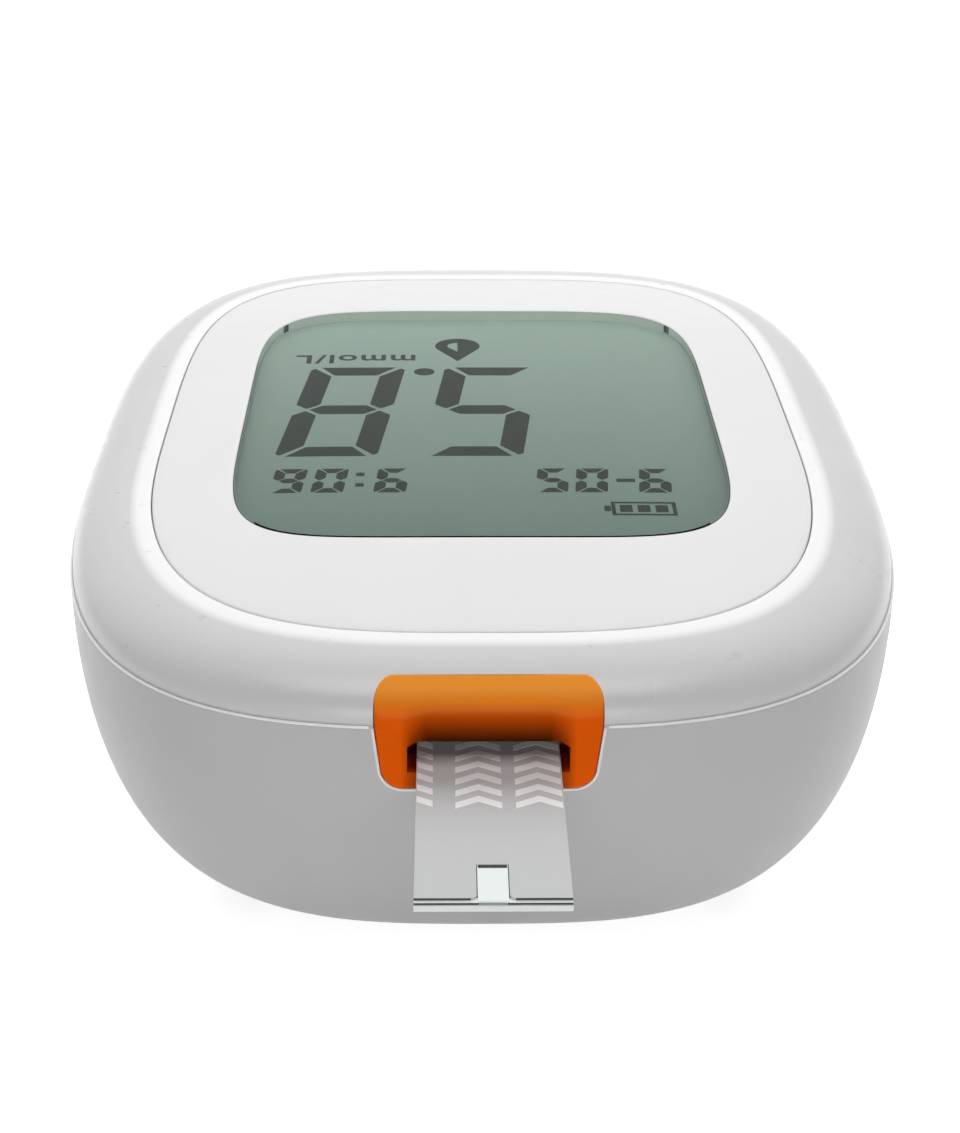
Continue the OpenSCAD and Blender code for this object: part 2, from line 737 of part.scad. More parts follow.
// Spring contacts: a foot on the board, a rise behind the socket, and an arm that dips to the strip
module strip_contacts() color("gold") {
    back = socket_back + 0.1;
    arm_z = socket_top - 0.9;
    tip = strip_inner - contact_l + 1;
    dip = strip_inner - contact_l + 2.5;
    low = strip_top - cover_t - spacer_t + contact_rise;
    t = contact_t;
    contact_places() translate([-contact_w / 2, 0, 0]) rotate([90, 0, 90]) linear_extrude(contact_w) polygon([
        [back + 1.2, board_top],
        [back + 1.2, board_top + t],
        [back + t, board_top + t],
        [back + t, arm_z + t],
        [dip + 3, arm_z + t],
        [dip, low + t],
        [tip, low + 2.5 * t],
        [tip - t, low + 1.8 * t],
        [dip, low],
        [dip + 3, arm_z],
        [back, arm_z],
        [back, board_top]
    ]);
}

module buzzer() color("#333333") translate([-key_x, key_y, 0]) difference() {
    rod(buzzer_r, board_bottom - buzzer_h, board_bottom);
    rod(1.2, board_bottom - buzzer_h - 1, board_bottom - buzzer_h + 0.8);
}

module main_switch() color("silver") difference() {
    slab(switch_w, switch_y - switch_l, switch_y, board_top, plunger_z + 1.7);
    translate([0, switch_y + past, plunger_z]) rotate([90, 0, 0])
        cylinder(r = plunger_r + plunger_fit, h = 2.1 + past, $fn = round_fn);
}

module main_plunger() color("black")
    translate([0, flange_y - flange_t, plunger_z]) rotate([90, 0, 0])
        cylinder(r = plunger_r, h = flange_y - flange_t - switch_y + 1.2, $fn = round_fn);

module main_button() color("darkorange") {
    crown_r = 30;
    translate([0, 0, button_z]) {
        intersection() {
            pill(button_w, button_h, flange_y - past, button_face);
            translate([0, button_face - crown_r, -button_h])
                cylinder(r = crown_r, h = 2 * button_h, $fn = 180);
        }
        pill(button_flange_w, button_h + 2 * button_flange, flange_y - flange_t, flange_y);
    }
}

module set_switch() color("silver") translate([key_x, key_y, 0]) difference() {
    slab(set_switch_w, -set_switch_w / 2, set_switch_w / 2, set_switch_bottom, board_bottom);
    rod(plunger_r + plunger_fit, set_switch_bottom - 1, set_switch_bottom + 1);
}

module set_plunger() color("black") translate([key_x, key_y, 0])
    rod(plunger_r, set_switch_bottom - plunger_len, set_switch_bottom + 0.4);

module set_button() color("darkorange") translate([key_x, key_y, 0]) {
    rod(key_r, key_face, key_flange_z + past);
    rod(key_r + 0.8, key_flange_z, key_flange_z + 0.8);
    rod(key_stem_r, key_flange_z, set_switch_bottom - plunger_len);
}

// AAA cell along Y, from its flat end to its nipple
module cell() {
    r = cell_d / 2;
    c = 0.4;
    rotate([-90, 0, 0]) rotate_extrude($fn = round_fn) polygon([
        [0, 0],
        [r - c, 0],
        [r, c],
        [r, cell_l - nipple_l - c],
        [r - c, cell_l - nipple_l],
        [1.9, cell_l - nipple_l],
        [1.9, cell_l],
        [0, cell_l]
    ]);
}

module cell_left() color("slategray")
    translate([-cell_pitch / 2, bay_far - bay_plate_t - cell_l, cell_mid_z]) cell();

module cell_right() color("slategray")
    translate([cell_pitch / 2, bay_near + bay_plate_t + cell_l, cell_mid_z]) rotate(180) cell();

// Conical contact spring along Y: one wire wound from the plate to the cell
function spring_point(u) =
    let (r = spring_base_r + (spring_tip_r - spring_base_r) * u, a = 360 * spring_turns * u)
    [r * cos(a), spring_wire / 2 + (spring_l - spring_wire) * u, r * sin(a)];

function spring_ring(u) =
    let (a = 360 * spring_turns * u, c = spring_point(u), out = [cos(a), 0, sin(a)])
    [
        for (i = [0:spring_sides - 1])
        let (b = 360 * i / spring_sides)
        c + spring_wire / 2 * (cos(b) * out + [0, sin(b), 0])
    ];

module contact_spring() {
    steps = spring_turns * spring_rings_turn;
    loft([for (j = [0:steps]) spring_ring(j / steps)]);
}

module battery_springs() color("silver") {
    translate([-cell_pitch / 2, bay_near + bay_plate_t, cell_mid_z]) contact_spring();
    translate([cell_pitch / 2, bay_far - bay_plate_t, cell_mid_z]) rotate(180) contact_spring();
}

// Least gap between neighbouring turns of a contact spring
echo(spring_turn_gap = (spring_l - spring_wire) / spring_turns - spring_wire);

// Four end plates, each with a tab up through the bay's roof to the board
module battery_plates() color("goldenrod")
    for (x = [-cell_pitch / 2, cell_pitch / 2], y = [bay_near, bay_far - bay_plate_t]) translate([x, 0, 0]) {
        slab(8.6, y, y + bay_plate_t, cell_mid_z - 4.4, cell_mid_z + 4.4);
        slab(2, y, y + bay_plate_t, cell_mid_z, board_bottom);
    }

module battery_door() color("gainsboro") difference() {
    near = door_near + slide_gap;
    union() {
        slab(door_w, near, door_end_y, bowl_bottom, door_top);
        slab(door_w + 2 * door_rail, near, door_end_y, rail_bottom, door_top);
        intersection() {
            loft(concat(bowl_rings(0), cavity_rings()));
            slab(door_end_w, door_end_y, half_l, bowl_bottom - 1, door_end_top);
        }
    }
    slab(door_end_w + 1, door_end_y - past, bay_far + bay_t + slide_gap, door_top, door_end_top + 1);
    for (i = [0:grip_count - 1]) translate([0, grip_y + i * grip_pitch, 0])
        slab(grip_w, 0, grip_pitch / 2, bowl_bottom - 1, bowl_bottom + grip_depth);
}

module housing_screws() color("silver") at_corners(screw_dx, screw_dy) difference() {
    union() {
        rod(screw_head_r, screw_seat_z - screw_head_t, screw_seat_z);
        rod(screw_r, screw_seat_z, screw_split_z);
        rod(screw_r - 0.15, screw_split_z - past, parting_h + 0.6);
    }
    head_z = screw_seat_z - screw_head_t;
    for (a = [0, 90]) rotate(a) slab(0.5, -1.2, 1.2, head_z - 1, head_z + 0.7);
}

module board_screws() color("silver") at_corners(board_screw_dx, board_screw_dy) {
    rod(board_head_r, board_top, board_top + board_head_t);
    rod(board_screw_r, board_bottom - board_screw_l, board_top + board_head_t / 2);
}

module rubber_feet() color("#555555") at_corners(foot_dx, foot_dy) rotate_extrude($fn = round_fn) polygon([
    [0, 0],
    [foot_r - 0.3, 0],
    [foot_r, 0.3],
    [foot_r, foot_t],
    [0, foot_t]
]);

module strip_layer(y0, y1, z0, z1) {
    slab(strip_w, y0, y1, z0, z1);
}

module strip_base() color("white")
    strip_layer(strip_end, strip_inner, base_bottom, base_bottom + base_t);

module strip_spacer() color("white") difference() {
    z = base_bottom + base_t;
    strip_layer(strip_end + 0.2, strip_inner - contact_l, z, z + spacer_t);
    slab(sample_w - 0.2, strip_end - 1, strip_end + sample_l, z - 1, z + 1);
}

module strip_cover() color("darkgray") difference() {
    z = strip_top - cover_t;
    strip_layer(strip_end + 0.5, strip_inner - contact_l - 1, z, strip_top);
    slab(sample_w, strip_end - 1, strip_end + sample_l, z - 1, z + 1);
}

module sample_window() color("lightcyan", 0.6) {
    slab(sample_w - 0.06, strip_end + 0.2, strip_end + sample_l - 0.03, strip_top - cover_t, strip_top);
}

module strip_electrodes() color("#222222") {
    z = base_bottom + base_t;
    contact_places() slab(0.9, strip_inner - contact_l + 0.2, strip_inner - 0.4, z, z + 0.03);
}

top_shell();
bottom_shell();
face_panel();
display_lens();
strip_port();
lcd_polarizer();
lcd_front();
lcd_back();
lcd_reflector();
lcd_frame();
zebra_strip();
main_board();
processor_chip();
amplifier_chip();
memory_chip();
clock_crystal();
board_parts();
strip_connector();
strip_contacts();
buzzer();
main_switch();
main_plunger();
main_button();
set_switch();
set_plunger();
set_button();
cell_left();
cell_right();
battery_springs();
battery_plates();
battery_door();
housing_screws();
board_screws();
rubber_feet();
strip_base();
strip_spacer();
strip_cover();
sample_window();
strip_electrodes();
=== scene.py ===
"""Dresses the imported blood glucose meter: shells, face, display, strip port, strip, keys and door.

Lengths are millimetres until a shape is cast; the cast objects and the scene are in metres.
+Z is up, the strip leaves towards -Y, and +X is to the right of the port.
"""

import json
import logging
import math
from dataclasses import dataclass, field
from enum import Enum
from typing import Any, Iterable, Sequence

import bmesh
import bpy
import numpy as np
from mathutils import Matrix, Vector


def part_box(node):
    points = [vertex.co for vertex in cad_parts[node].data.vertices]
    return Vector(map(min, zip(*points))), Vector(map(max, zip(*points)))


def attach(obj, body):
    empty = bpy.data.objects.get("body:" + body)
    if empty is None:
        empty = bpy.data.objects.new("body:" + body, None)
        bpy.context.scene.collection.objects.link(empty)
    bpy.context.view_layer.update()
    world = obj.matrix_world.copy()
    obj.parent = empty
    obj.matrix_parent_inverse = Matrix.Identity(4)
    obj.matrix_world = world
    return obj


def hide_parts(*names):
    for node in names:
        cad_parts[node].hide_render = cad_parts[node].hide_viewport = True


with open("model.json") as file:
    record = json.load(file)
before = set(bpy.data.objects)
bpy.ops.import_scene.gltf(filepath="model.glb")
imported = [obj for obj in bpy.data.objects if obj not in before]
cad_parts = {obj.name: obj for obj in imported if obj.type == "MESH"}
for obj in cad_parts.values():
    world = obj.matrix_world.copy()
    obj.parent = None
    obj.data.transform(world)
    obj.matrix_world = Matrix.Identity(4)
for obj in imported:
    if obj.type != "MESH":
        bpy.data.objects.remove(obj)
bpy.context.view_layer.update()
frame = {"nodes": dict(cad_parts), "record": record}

MM = 0.001
OUTLINE_POINTS = 240
OUTLINE_POWER = 3.14
WINDOW_POWER = 5.6
LOG = logging.getLogger("meter")

Obj = bpy.types.Object
Material = bpy.types.Material
NodeTree = bpy.types.NodeTree
Socket = bpy.types.NodeSocket
Point = tuple[float, float]
Vec = tuple[float, float, float]
Colour = tuple[float, float, float]


# ---------------------------------------------------------------- measures

@dataclass(frozen=True)
class Box:
    """A box in millimetres, with its lowest and highest corner."""

    lo: Vec
    hi: Vec

    @classmethod
    def of(cls, node: str) -> "Box":
        """The box of a CAD node at rest."""
        lo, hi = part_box(node)
        return cls(tuple(v / MM for v in lo), tuple(v / MM for v in hi))

    def size(self, axis: int) -> float:
        """Length of the box along an axis."""
        return self.hi[axis] - self.lo[axis]

    def middle(self, axis: int) -> float:
        """Middle of the box along an axis."""
        return (self.hi[axis] + self.lo[axis]) / 2


def measured(node: str) -> Any:
    """A dataclass field that holds the box of a CAD node."""
    return field(default_factory=lambda: Box.of(node))


class Body(Enum):
    """The CAD bodies that pieces ride on."""

    HOUSING = "housing"
    STRIP = "test_strip"
    BUTTON = "end_button"
    KEY = "under_key"
    DOOR = "bay_door"


@dataclass(frozen=True)
class Form:
    """The housing's measures: boxes come from the frame, and the rest follows the photographed outlines."""

    half_w: float = field(default_factory=lambda: Box.of("bottom_shell").hi[0])
    half_l: float = field(default_factory=lambda: Box.of("bottom_shell").hi[1])
    underside: float = field(default_factory=lambda: Box.of("bottom_shell").lo[2])
    parting: float = field(default_factory=lambda: Box.of("bottom_shell").hi[2])
    rim: float = field(default_factory=lambda: Box.of("top_shell").hi[2])
    panel: Box = measured("face_panel")
    lens: Box = measured("display_lens")
    port: Box = measured("strip_port")
    door: Box = measured("battery_door")
    bowl_inset: float = 8.9
    bowl_power: float = 2.22
    shoulder_power: float = 2.32
    crown: float = 0.9
    wall: float = 1.8
    edge_break: float = 0.15
    seat_gap: float = 0.15
    slide_gap: float = 0.2

    @property
    def floor_top(self) -> float:
        """Height of the inner floor of the lower shell."""
        return self.underside + self.wall

    @property
    def panel_half(self) -> tuple[float, float]:
        """Half the width and half the length of the face sheet."""
        return self.panel.hi[0], self.panel.hi[1]

    @property
    def face_seat(self) -> float:
        """Height of the recess floor that carries the face sheet."""
        return self.panel.lo[2]

    def bowl(self, angle: float) -> tuple[float, float]:
        """Draw-in and height on the lower shell's side.

        Args:
            angle: 0 at the joint line and 90 degrees underneath.
        Returns:
            The inset from the widest line, and the height above the table.
        """
        a = math.radians(angle)
        inset = self.bowl_inset * (1 - abs(math.cos(a)) ** (2 / self.bowl_power))
        top = self.parting - self.edge_break
        return inset, top - (top - self.underside) * math.sin(a) ** (2 / self.bowl_power)

    def bowl_inset_at(self, z: float) -> float:
        """Draw-in of the lower shell at a height below the joint line."""
        top = self.parting - self.edge_break
        drop = min(max((top - z) / (top - self.underside), 0.0), 1.0)
        return self.bowl_inset * (1 - (1 - drop ** self.bowl_power) ** (1 / self.bowl_power))

    def shoulder(self, angle: float) -> tuple[float, float]:
        """Share of the way to the face sheet's seat, and height, on the upper shell's shoulder."""
        a = math.radians(angle)
        share = 1 - abs(math.cos(a)) ** (2 / self.shoulder_power)
        low = self.parting + self.edge_break
        return share, low + (self.rim - low) * math.sin(a) ** (2 / self.shoulder_power)

    def shoulder_halves(self, share: float, grow: float = 0.0) -> tuple[float, float]:
        """Half width and half length of the shoulder's ring at a share of the way to the seat."""
        seat = [h + self.seat_gap for h in self.panel_half]
        return (
            self.half_w + grow + (seat[0] - self.half_w) * share,
            self.half_l + grow + (seat[1] - self.half_l) * share,
        )

    def crown_height(self, x: np.ndarray, y: np.ndarray) -> np.ndarray:
        """Height of the crowned face over points of the plan."""
        half_w, half_l = self.panel_half
        power = face_power(y / half_l)
        reach = np.abs(x / half_w) ** power + np.abs(y / half_l) ** power
        return self.rim + self.crown * (1 - reach)


# ---------------------------------------------------------------- outlines

def signed_power(value: np.ndarray, power: float | np.ndarray) -> np.ndarray:
    """The power of a number's size, with its sign kept."""
    return np.sign(value) * np.abs(value) ** power


def face_power(along: np.ndarray) -> np.ndarray:
    """Squareness of the face sheet's outline, from its near end (-1) to its squarer far end (1)."""
    run = np.clip(along * 0.8 + 0.5, 0, 1)
    return 3.2 + 0.7 * run * run * (3 - 2 * run)


def even_angles(a: float, b: float, power: float, count: int) -> np.ndarray:
    """Angles that put points at equal steps of arc on a squared oval.

    Args:
        a: Half width.
        b: Half length.
        power: Squareness, 2 for an ellipse.
        count: Number of points.
    Returns:
        The angles in radians.
    """
    t = np.linspace(0, 2 * math.pi, 7201)
    x, y = a * signed_power(np.cos(t), 2 / power), b * signed_power(np.sin(t), 2 / power)
    run = np.concatenate([[0], np.cumsum(np.hypot(np.diff(x), np.diff(y)))])
    return np.interp(np.arange(count) * run[-1] / count, run, t)


@dataclass
class Outline:
    """Rings of the squared oval that share one set of angles, so that they can be lofted."""

    form: Form
    count: int = OUTLINE_POINTS
    angles: np.ndarray = field(init=False)

    def __post_init__(self) -> None:
        """Sets the angles from the housing's widest line."""
        self.angles = even_angles(self.form.half_w, self.form.half_l, OUTLINE_POWER, self.count)

    def face_power(self, share: float = 1.0) -> np.ndarray:
        """Squareness of a ring's points, from the widest line (share 0) to the face sheet's edge (share 1)."""
        along = signed_power(np.sin(self.angles), 2 / OUTLINE_POWER)
        return OUTLINE_POWER + (face_power(along) - OUTLINE_POWER) * share

    def ring(self, a: float, b: float, z: float, power: float | np.ndarray = OUTLINE_POWER,
             shift: float = 0.0) -> np.ndarray:
        """One ring of the squared oval.

        Args:
            a: Half width.
            b: Half length.
            z: Height.
            power: Squareness, the same all round or one for each point.
            shift: Shift towards the far end.
        Returns:
            Points of the ring, one row each.
        """
        x = a * signed_power(np.cos(self.angles), 2 / power)
        y = shift + b * signed_power(np.sin(self.angles), 2 / power)
        return np.column_stack([x, y, np.full(len(x), z)])


def arc(centre: Point, radius: float, start: float, end: float, steps: int) -> list[Point]:
    """Points of a circular arc in a plane, from one angle to another in degrees."""
    return [
        (centre[0] + radius * math.cos(math.radians(a)), centre[1] + radius * math.sin(math.radians(a)))
        for a in np.linspace(start, end, steps + 1)
    ]


def rounded_box_outline(half_w: float, half_h: float, radius: float, steps: int = 8) -> list[Point]:
    """Outline of a rectangle with round corners, centred on the origin."""
    w, h = half_w - radius, half_h - radius
    corners = (((w, -h), -90), ((w, h), 0), ((-w, h), 90), ((-w, -h), 180))
    return [p for centre, start in corners for p in arc(centre, radius, start, start + 90, steps)]


# ---------------------------------------------------------------- casting

class Axis(Enum):
    """Axis that a round or drawn-out shape follows."""

    X = 0
    Y = 1
    Z = 2


def stand(points: np.ndarray, axis: Axis) -> np.ndarray:
    """Turns points modelled along Z so that they lie along another axis."""
    order = {Axis.Z: (0, 1, 2), Axis.Y: (0, 2, 1), Axis.X: (2, 0, 1)}[axis]
    return points[:, order]


class Mould:
    """Collects shapes in millimetres and casts them into one object in metres."""

    def __init__(self) -> None:
        """Starts empty."""
        self.points: list[np.ndarray] = []
        self.faces: list[tuple[int, ...]] = []
        self.count = 0

    def add(self, points: np.ndarray, faces: Iterable[Sequence[int]]) -> None:
        """Adds a mesh."""
        self.points.append(np.asarray(points, float))
        self.faces += [tuple(i + self.count for i in face) for face in faces]
        self.count += len(points)

    def loft(self, rings: Sequence[np.ndarray], around: bool = False) -> None:
        """Adds a skin through rings, closed at both ends, or round onto itself."""
        n, m = len(rings[0]), len(rings)
        faces: list[Sequence[int]] = []
        for j in range(m if around else m - 1):
            k = (j + 1) % m
            faces += [(j * n + i, j * n + (i + 1) % n, k * n + (i + 1) % n, k * n + i) for i in range(n)]
        if not around:
            faces += [tuple(range(n - 1, -1, -1)), tuple((m - 1) * n + i for i in range(n))]
        self.add(np.concatenate(rings), faces)

    def box(self, lo: Vec, hi: Vec) -> None:
        """Adds a box."""
        base = [(lo[0], lo[1]), (hi[0], lo[1]), (hi[0], hi[1]), (lo[0], hi[1])]
        self.loft([np.array([(x, y, z) for x, y in base]) for z in (lo[2], hi[2])])

    def slab(self, width: float, y0: float, y1: float, z0: float, z1: float) -> None:
        """Adds a box centred across X."""
        self.box((-width / 2, y0, z0), (width / 2, y1, z1))

    def turned(self, profile: Sequence[Point], at: Vec, axis: Axis = Axis.Z, sides: int = 48) -> None:
        """Adds a turned solid.

        Args:
            profile: Radius and height from one end to the other; the radii are above 0.
            at: Where the profile's height of 0 stands.
            axis: The axis of turning.
            sides: Number of sides.
        """
        t = np.arange(sides) * 2 * math.pi / sides
        rings = [np.column_stack([r * np.cos(t), r * np.sin(t), np.full(sides, h)]) for r, h in profile]
        self.loft([stand(ring, axis) + np.array(at) for ring in rings])

    def prism(self, outline: Sequence[Point], start: float, end: float, axis: Axis = Axis.Z) -> None:
        """Adds a drawn-out outline."""
        rings = [np.array([(u, v, h) for u, v in outline]) for h in (start, end)]
        self.loft([stand(ring, axis) for ring in rings])

    def cast(self, name: str, tidy: bool = True) -> Obj:
        """Makes the object, with its faces turned outwards.

        Args:
            name: Name of the object.
            tidy: Whether doubles are merged and the normals recalculated.
        Returns:
            The object, at the origin.
        """
        mesh = bpy.data.meshes.new(name)
        mesh.from_pydata((np.concatenate(self.points) * MM).tolist(), [], self.faces)
        obj = linked(name, mesh)
        if tidy:
            clean(obj)
        return obj


def linked(name: str, data: bpy.types.ID) -> Obj:
    """A new object in the scene that holds some data."""
    obj = bpy.data.objects.new(name, data)
    bpy.context.scene.collection.objects.link(obj)
    return obj


def clean(obj: Obj) -> None:
    """Merges doubles and turns the faces of an object outwards."""
    shape = bmesh.new()
    shape.from_mesh(obj.data)
    bmesh.ops.remove_doubles(shape, verts=shape.verts, dist=5e-4 * MM)
    bmesh.ops.dissolve_degenerate(shape, edges=shape.edges, dist=5e-4 * MM)
    bmesh.ops.recalc_face_normals(shape, faces=shape.faces)
    shape.to_mesh(obj.data)
    shape.free()


def smooth(obj: Obj, sharp_angle: float = 32.0) -> None:
    """Shades an object smooth, and keeps edges past an angle sharp."""
    obj.data.shade_smooth()
    obj.data.set_sharp_from_angle(angle=math.radians(sharp_angle))


def even_shading(obj: Obj) -> None:
    """Weighs an object's normals by face area."""
    step = obj.modifiers.new("weigh", "WEIGHTED_NORMAL")
    step.mode = "FACE_AREA"
    step.weight = 80
    step.keep_sharp = True
    settle(obj)


def merge(name: str, parts: Sequence[Obj]) -> Obj:
    """Joins plain objects into one and discards them."""
    shape = bmesh.new()
    for part in parts:
        shape.from_mesh(part.data)
        bpy.data.objects.remove(part)
    mesh = bpy.data.meshes.new(name)
    shape.to_mesh(mesh)
    shape.free()
    return linked(name, mesh)


def settle(obj: Obj) -> None:
    """Applies an object's modifiers to its mesh."""
    graph = bpy.context.evaluated_depsgraph_get()
    mesh = bpy.data.meshes.new_from_object(obj.evaluated_get(graph))
    obj.modifiers.clear()
    obj.data = mesh


class Cut(Enum):
    """What a second shape does to the first."""

    TAKE = "DIFFERENCE"
    ADD = "UNION"
    KEEP = "INTERSECT"


def carve(obj: Obj, tool: Mould, cut: Cut = Cut.TAKE) -> None:
    """Cuts one tool shape out of an object, or joins it on, and discards the tool."""
    cutter = tool.cast("tool")
    step = obj.modifiers.new("cut", "BOOLEAN")
    step.operation = cut.value
    step.solver = "MANIFOLD"
    step.object = cutter
    settle(obj)
    clean(obj)
    bpy.data.objects.remove(cutter)


# ---------------------------------------------------------------- geometry trees

def add_node(tree: NodeTree, kind: str, inputs: dict[str | int, object] | None = None,
             **settings: object) -> bpy.types.Node:
    """Adds a node to a tree.

    Args:
        tree: The tree.
        kind: Blender's name of the node type.
        inputs: Values or sockets for the node's inputs, by name or number.
        settings: Settings of the node itself.
    Returns:
        The node.
    """
    node = tree.nodes.new(kind)
    for key, value in settings.items():
        setattr(node, key, value)
    for key, value in (inputs or {}).items():
        if isinstance(value, Socket):
            tree.links.new(value, node.inputs[key])
        else:
            node.inputs[key].default_value = value
    return node


class Tree:
    """A Geometry Nodes tree with named inputs, whose result becomes a plain mesh."""

    def __init__(self, name: str) -> None:
        """Makes an empty tree with a geometry output."""
        self.tree = bpy.data.node_groups.new(name, "GeometryNodeTree")
        self.tree.interface.new_socket("Geometry", in_out="OUTPUT", socket_type="NodeSocketGeometry")
        self.entry = self.tree.nodes.new("NodeGroupInput")
        self.exit = self.tree.nodes.new("NodeGroupOutput")
        self.values: dict[str, object] = {}

    def take(self, name: str, value: object, kind: str = "NodeSocketFloat") -> Socket:
        """Adds a named input with its value, and gives the socket that carries it in the tree."""
        self.tree.interface.new_socket(name, in_out="INPUT", socket_type=kind)
        self.values[name] = value
        return self.entry.outputs[name]

    def node(self, kind: str, inputs: dict[str, object] | None = None, **settings: object) -> bpy.types.Node:
        """Adds a node to this tree."""
        return add_node(self.tree, kind, inputs, **settings)

    def join(self, parts: Sequence[Socket]) -> Socket:
        """Joins geometry."""
        node = self.tree.nodes.new("GeometryNodeJoinGeometry")
        for part in parts:
            self.tree.links.new(part, node.inputs["Geometry"])
        return node.outputs["Geometry"]

    def grow(self, name: str, geometry: Socket, material: Material) -> Obj:
        """Ends the tree, evaluates it and gives the plain object.

        Args:
            name: Name of the object.
            geometry: The socket that carries the finished geometry.
            material: The material that is set at the end of the tree.
        Returns:
            An object with a plain mesh, at the origin.
        """
        real = self.node("GeometryNodeRealizeInstances", {"Geometry": geometry})
        done = self.node("GeometryNodeSetMaterial",
                         {"Geometry": real.outputs["Geometry"], "Material": material})
        self.tree.links.new(done.outputs["Geometry"], self.exit.inputs[0])
        obj = linked(name, bpy.data.meshes.new(name))
        step = obj.modifiers.new("tree", "NODES")
        step.node_group = self.tree
        for item in self.tree.interface.items_tree:
            if item.item_type == "SOCKET" and item.in_out == "INPUT":
                step[item.identifier] = self.values[item.name]
        settle(obj)
        return obj


def spread(name: str, seed: Obj, places: Sequence[Vec], material: Material) -> Obj:
    """Repeats a small object at places, with Geometry Nodes, and discards the first one.

    Args:
        name: Name of the result.
        seed: The object to repeat, modelled round the origin.
        places: Where it goes, in millimetres.
        material: The material of all copies.
    Returns:
        One object that holds every copy.
    """
    marks = linked("marks", bpy.data.meshes.new("marks"))
    marks.data.from_pydata([tuple(v * MM for v in place) for place in places], [], [])
    tree = Tree(name)
    where = tree.take("Places", marks, "NodeSocketObject")
    what = tree.take("Part", seed, "NodeSocketObject")
    points = tree.node("GeometryNodeObjectInfo", {"Object": where})
    part = tree.node("GeometryNodeObjectInfo", {"Object": what})
    copies = tree.node("GeometryNodeInstanceOnPoints", {
        "Points": points.outputs["Geometry"], "Instance": part.outputs["Geometry"],
    })
    result = tree.grow(name, copies.outputs["Instances"], material)
    for obj in (marks, seed):
        bpy.data.objects.remove(obj)
    return result


def sweep(name: str, path: Sequence[Vec], radius: float, material: Material) -> Obj:
    """Draws a round bead along a path, with Geometry Nodes.

    Args:
        name: Name of the result.
        path: Points of the path, in millimetres.
        radius: Radius of the bead, in millimetres.
        material: Its material.
    Returns:
        The bead.
    """
    guide = linked("guide", bpy.data.meshes.new("guide"))
    edges = [(i, i + 1) for i in range(len(path) - 1)]
    guide.data.from_pydata([tuple(v * MM for v in point) for point in path], edges, [])
    tree = Tree(name)
    line = tree.take("Path", guide, "NodeSocketObject")
    thick = tree.take("Radius", radius * MM)
    drawn = tree.node("GeometryNodeObjectInfo", {"Object": line})
    curve = tree.node("GeometryNodeMeshToCurve", {"Mesh": drawn.outputs["Geometry"]})
    ring = tree.node("GeometryNodeCurvePrimitiveCircle", {"Resolution": 10, "Radius": thick})
    bead = tree.node("GeometryNodeCurveToMesh", {
        "Curve": curve.outputs["Curve"], "Profile Curve": ring.outputs["Curve"], "Fill Caps": True,
    })
    soft = tree.node("GeometryNodeSetShadeSmooth", {"Geometry": bead.outputs["Mesh"]})
    result = tree.grow(name, soft.outputs["Geometry"], material)
    bpy.data.objects.remove(guide)
    return result


# ---------------------------------------------------------------- finishes

class Shader:
    """A material's node tree, with short ways to add and link nodes."""

    def __init__(self, name: str) -> None:
        """Makes the material with its Principled shader."""
        self.material = bpy.data.materials.new(name)
        self.material.use_nodes = True
        self.tree = self.material.node_tree
        self.surface = self.tree.nodes["Principled BSDF"]
        self.place = self.tree.nodes.new("ShaderNodeTexCoord").outputs["Object"]

    def set(self, **values: object) -> None:
        """Sets constants on the Principled shader's own sockets; _ stands for a space."""
        for key, value in values.items():
            self.surface.inputs[key.replace("_", " ")].default_value = value

    def link(self, output: Socket, socket: str) -> None:
        """Links an output into the Principled shader."""
        self.tree.links.new(output, self.surface.inputs[socket])

    def node(self, kind: str, inputs: dict[str, object] | None = None, **settings: object) -> bpy.types.Node:
        """Adds a node; the inputs are values or sockets by name or number."""
        return add_node(self.tree, kind, inputs, **settings)

    def noise(self, size: float, detail: float = 3.0, stretch: Vec = (1, 1, 1)) -> Socket:
        """Noise with features of a size in millimetres, drawn out along the axes by stretch."""
        spot = self.node("ShaderNodeMapping", {"Vector": self.place, "Scale": tuple(1 / s for s in stretch)})
        return self.node("ShaderNodeTexNoise", {
            "Vector": spot.outputs[0], "Scale": 1 / (size * MM), "Detail": detail,
        }).outputs["Fac"]

    def spans(self, value: Socket, low: float, high: float, start: float = 0.3,
              end: float = 0.7) -> Socket:
        """Maps a value between two numbers."""
        return self.node("ShaderNodeMapRange", {
            "Value": value, "From Min": start, "From Max": end, "To Min": low, "To Max": high,
        }).outputs["Result"]

    def blend(self, share: Socket | float, first: Colour | Socket,
              second: Colour | Socket) -> Socket:
        """Mixes two colours."""
        node = self.tree.nodes.new("ShaderNodeMix")
        node.data_type = "RGBA"
        names = {"Factor": share, 6: first, 7: second}
        for key, value in names.items():
            socket = node.inputs[key]
            if isinstance(value, Socket):
                self.tree.links.new(value, socket)
            else:
                socket.default_value = value if key == "Factor" else (*value, 1)
        return node.outputs[2]

    def axis(self, axis: Axis) -> Socket:
        """One object coordinate."""
        split = self.node("ShaderNodeSeparateXYZ", {"Vector": self.place})
        return split.outputs[axis.value]

    def bump(self, height: Socket, depth: float,
             normal: Socket | None = None) -> Socket:
        """A bumped normal; the depth is in millimetres."""
        inputs: dict[str, object] = {"Height": height, "Distance": depth * MM, "Strength": 1.0}
        if normal is not None:
            inputs["Normal"] = normal
        return self.node("ShaderNodeBump", inputs).outputs["Normal"]

    def round_edges(self, radius: float) -> Socket:
        """A normal that rounds edges by a radius in millimetres."""
        return self.node("ShaderNodeBevel", {"Radius": radius * MM}, samples=6).outputs["Normal"]


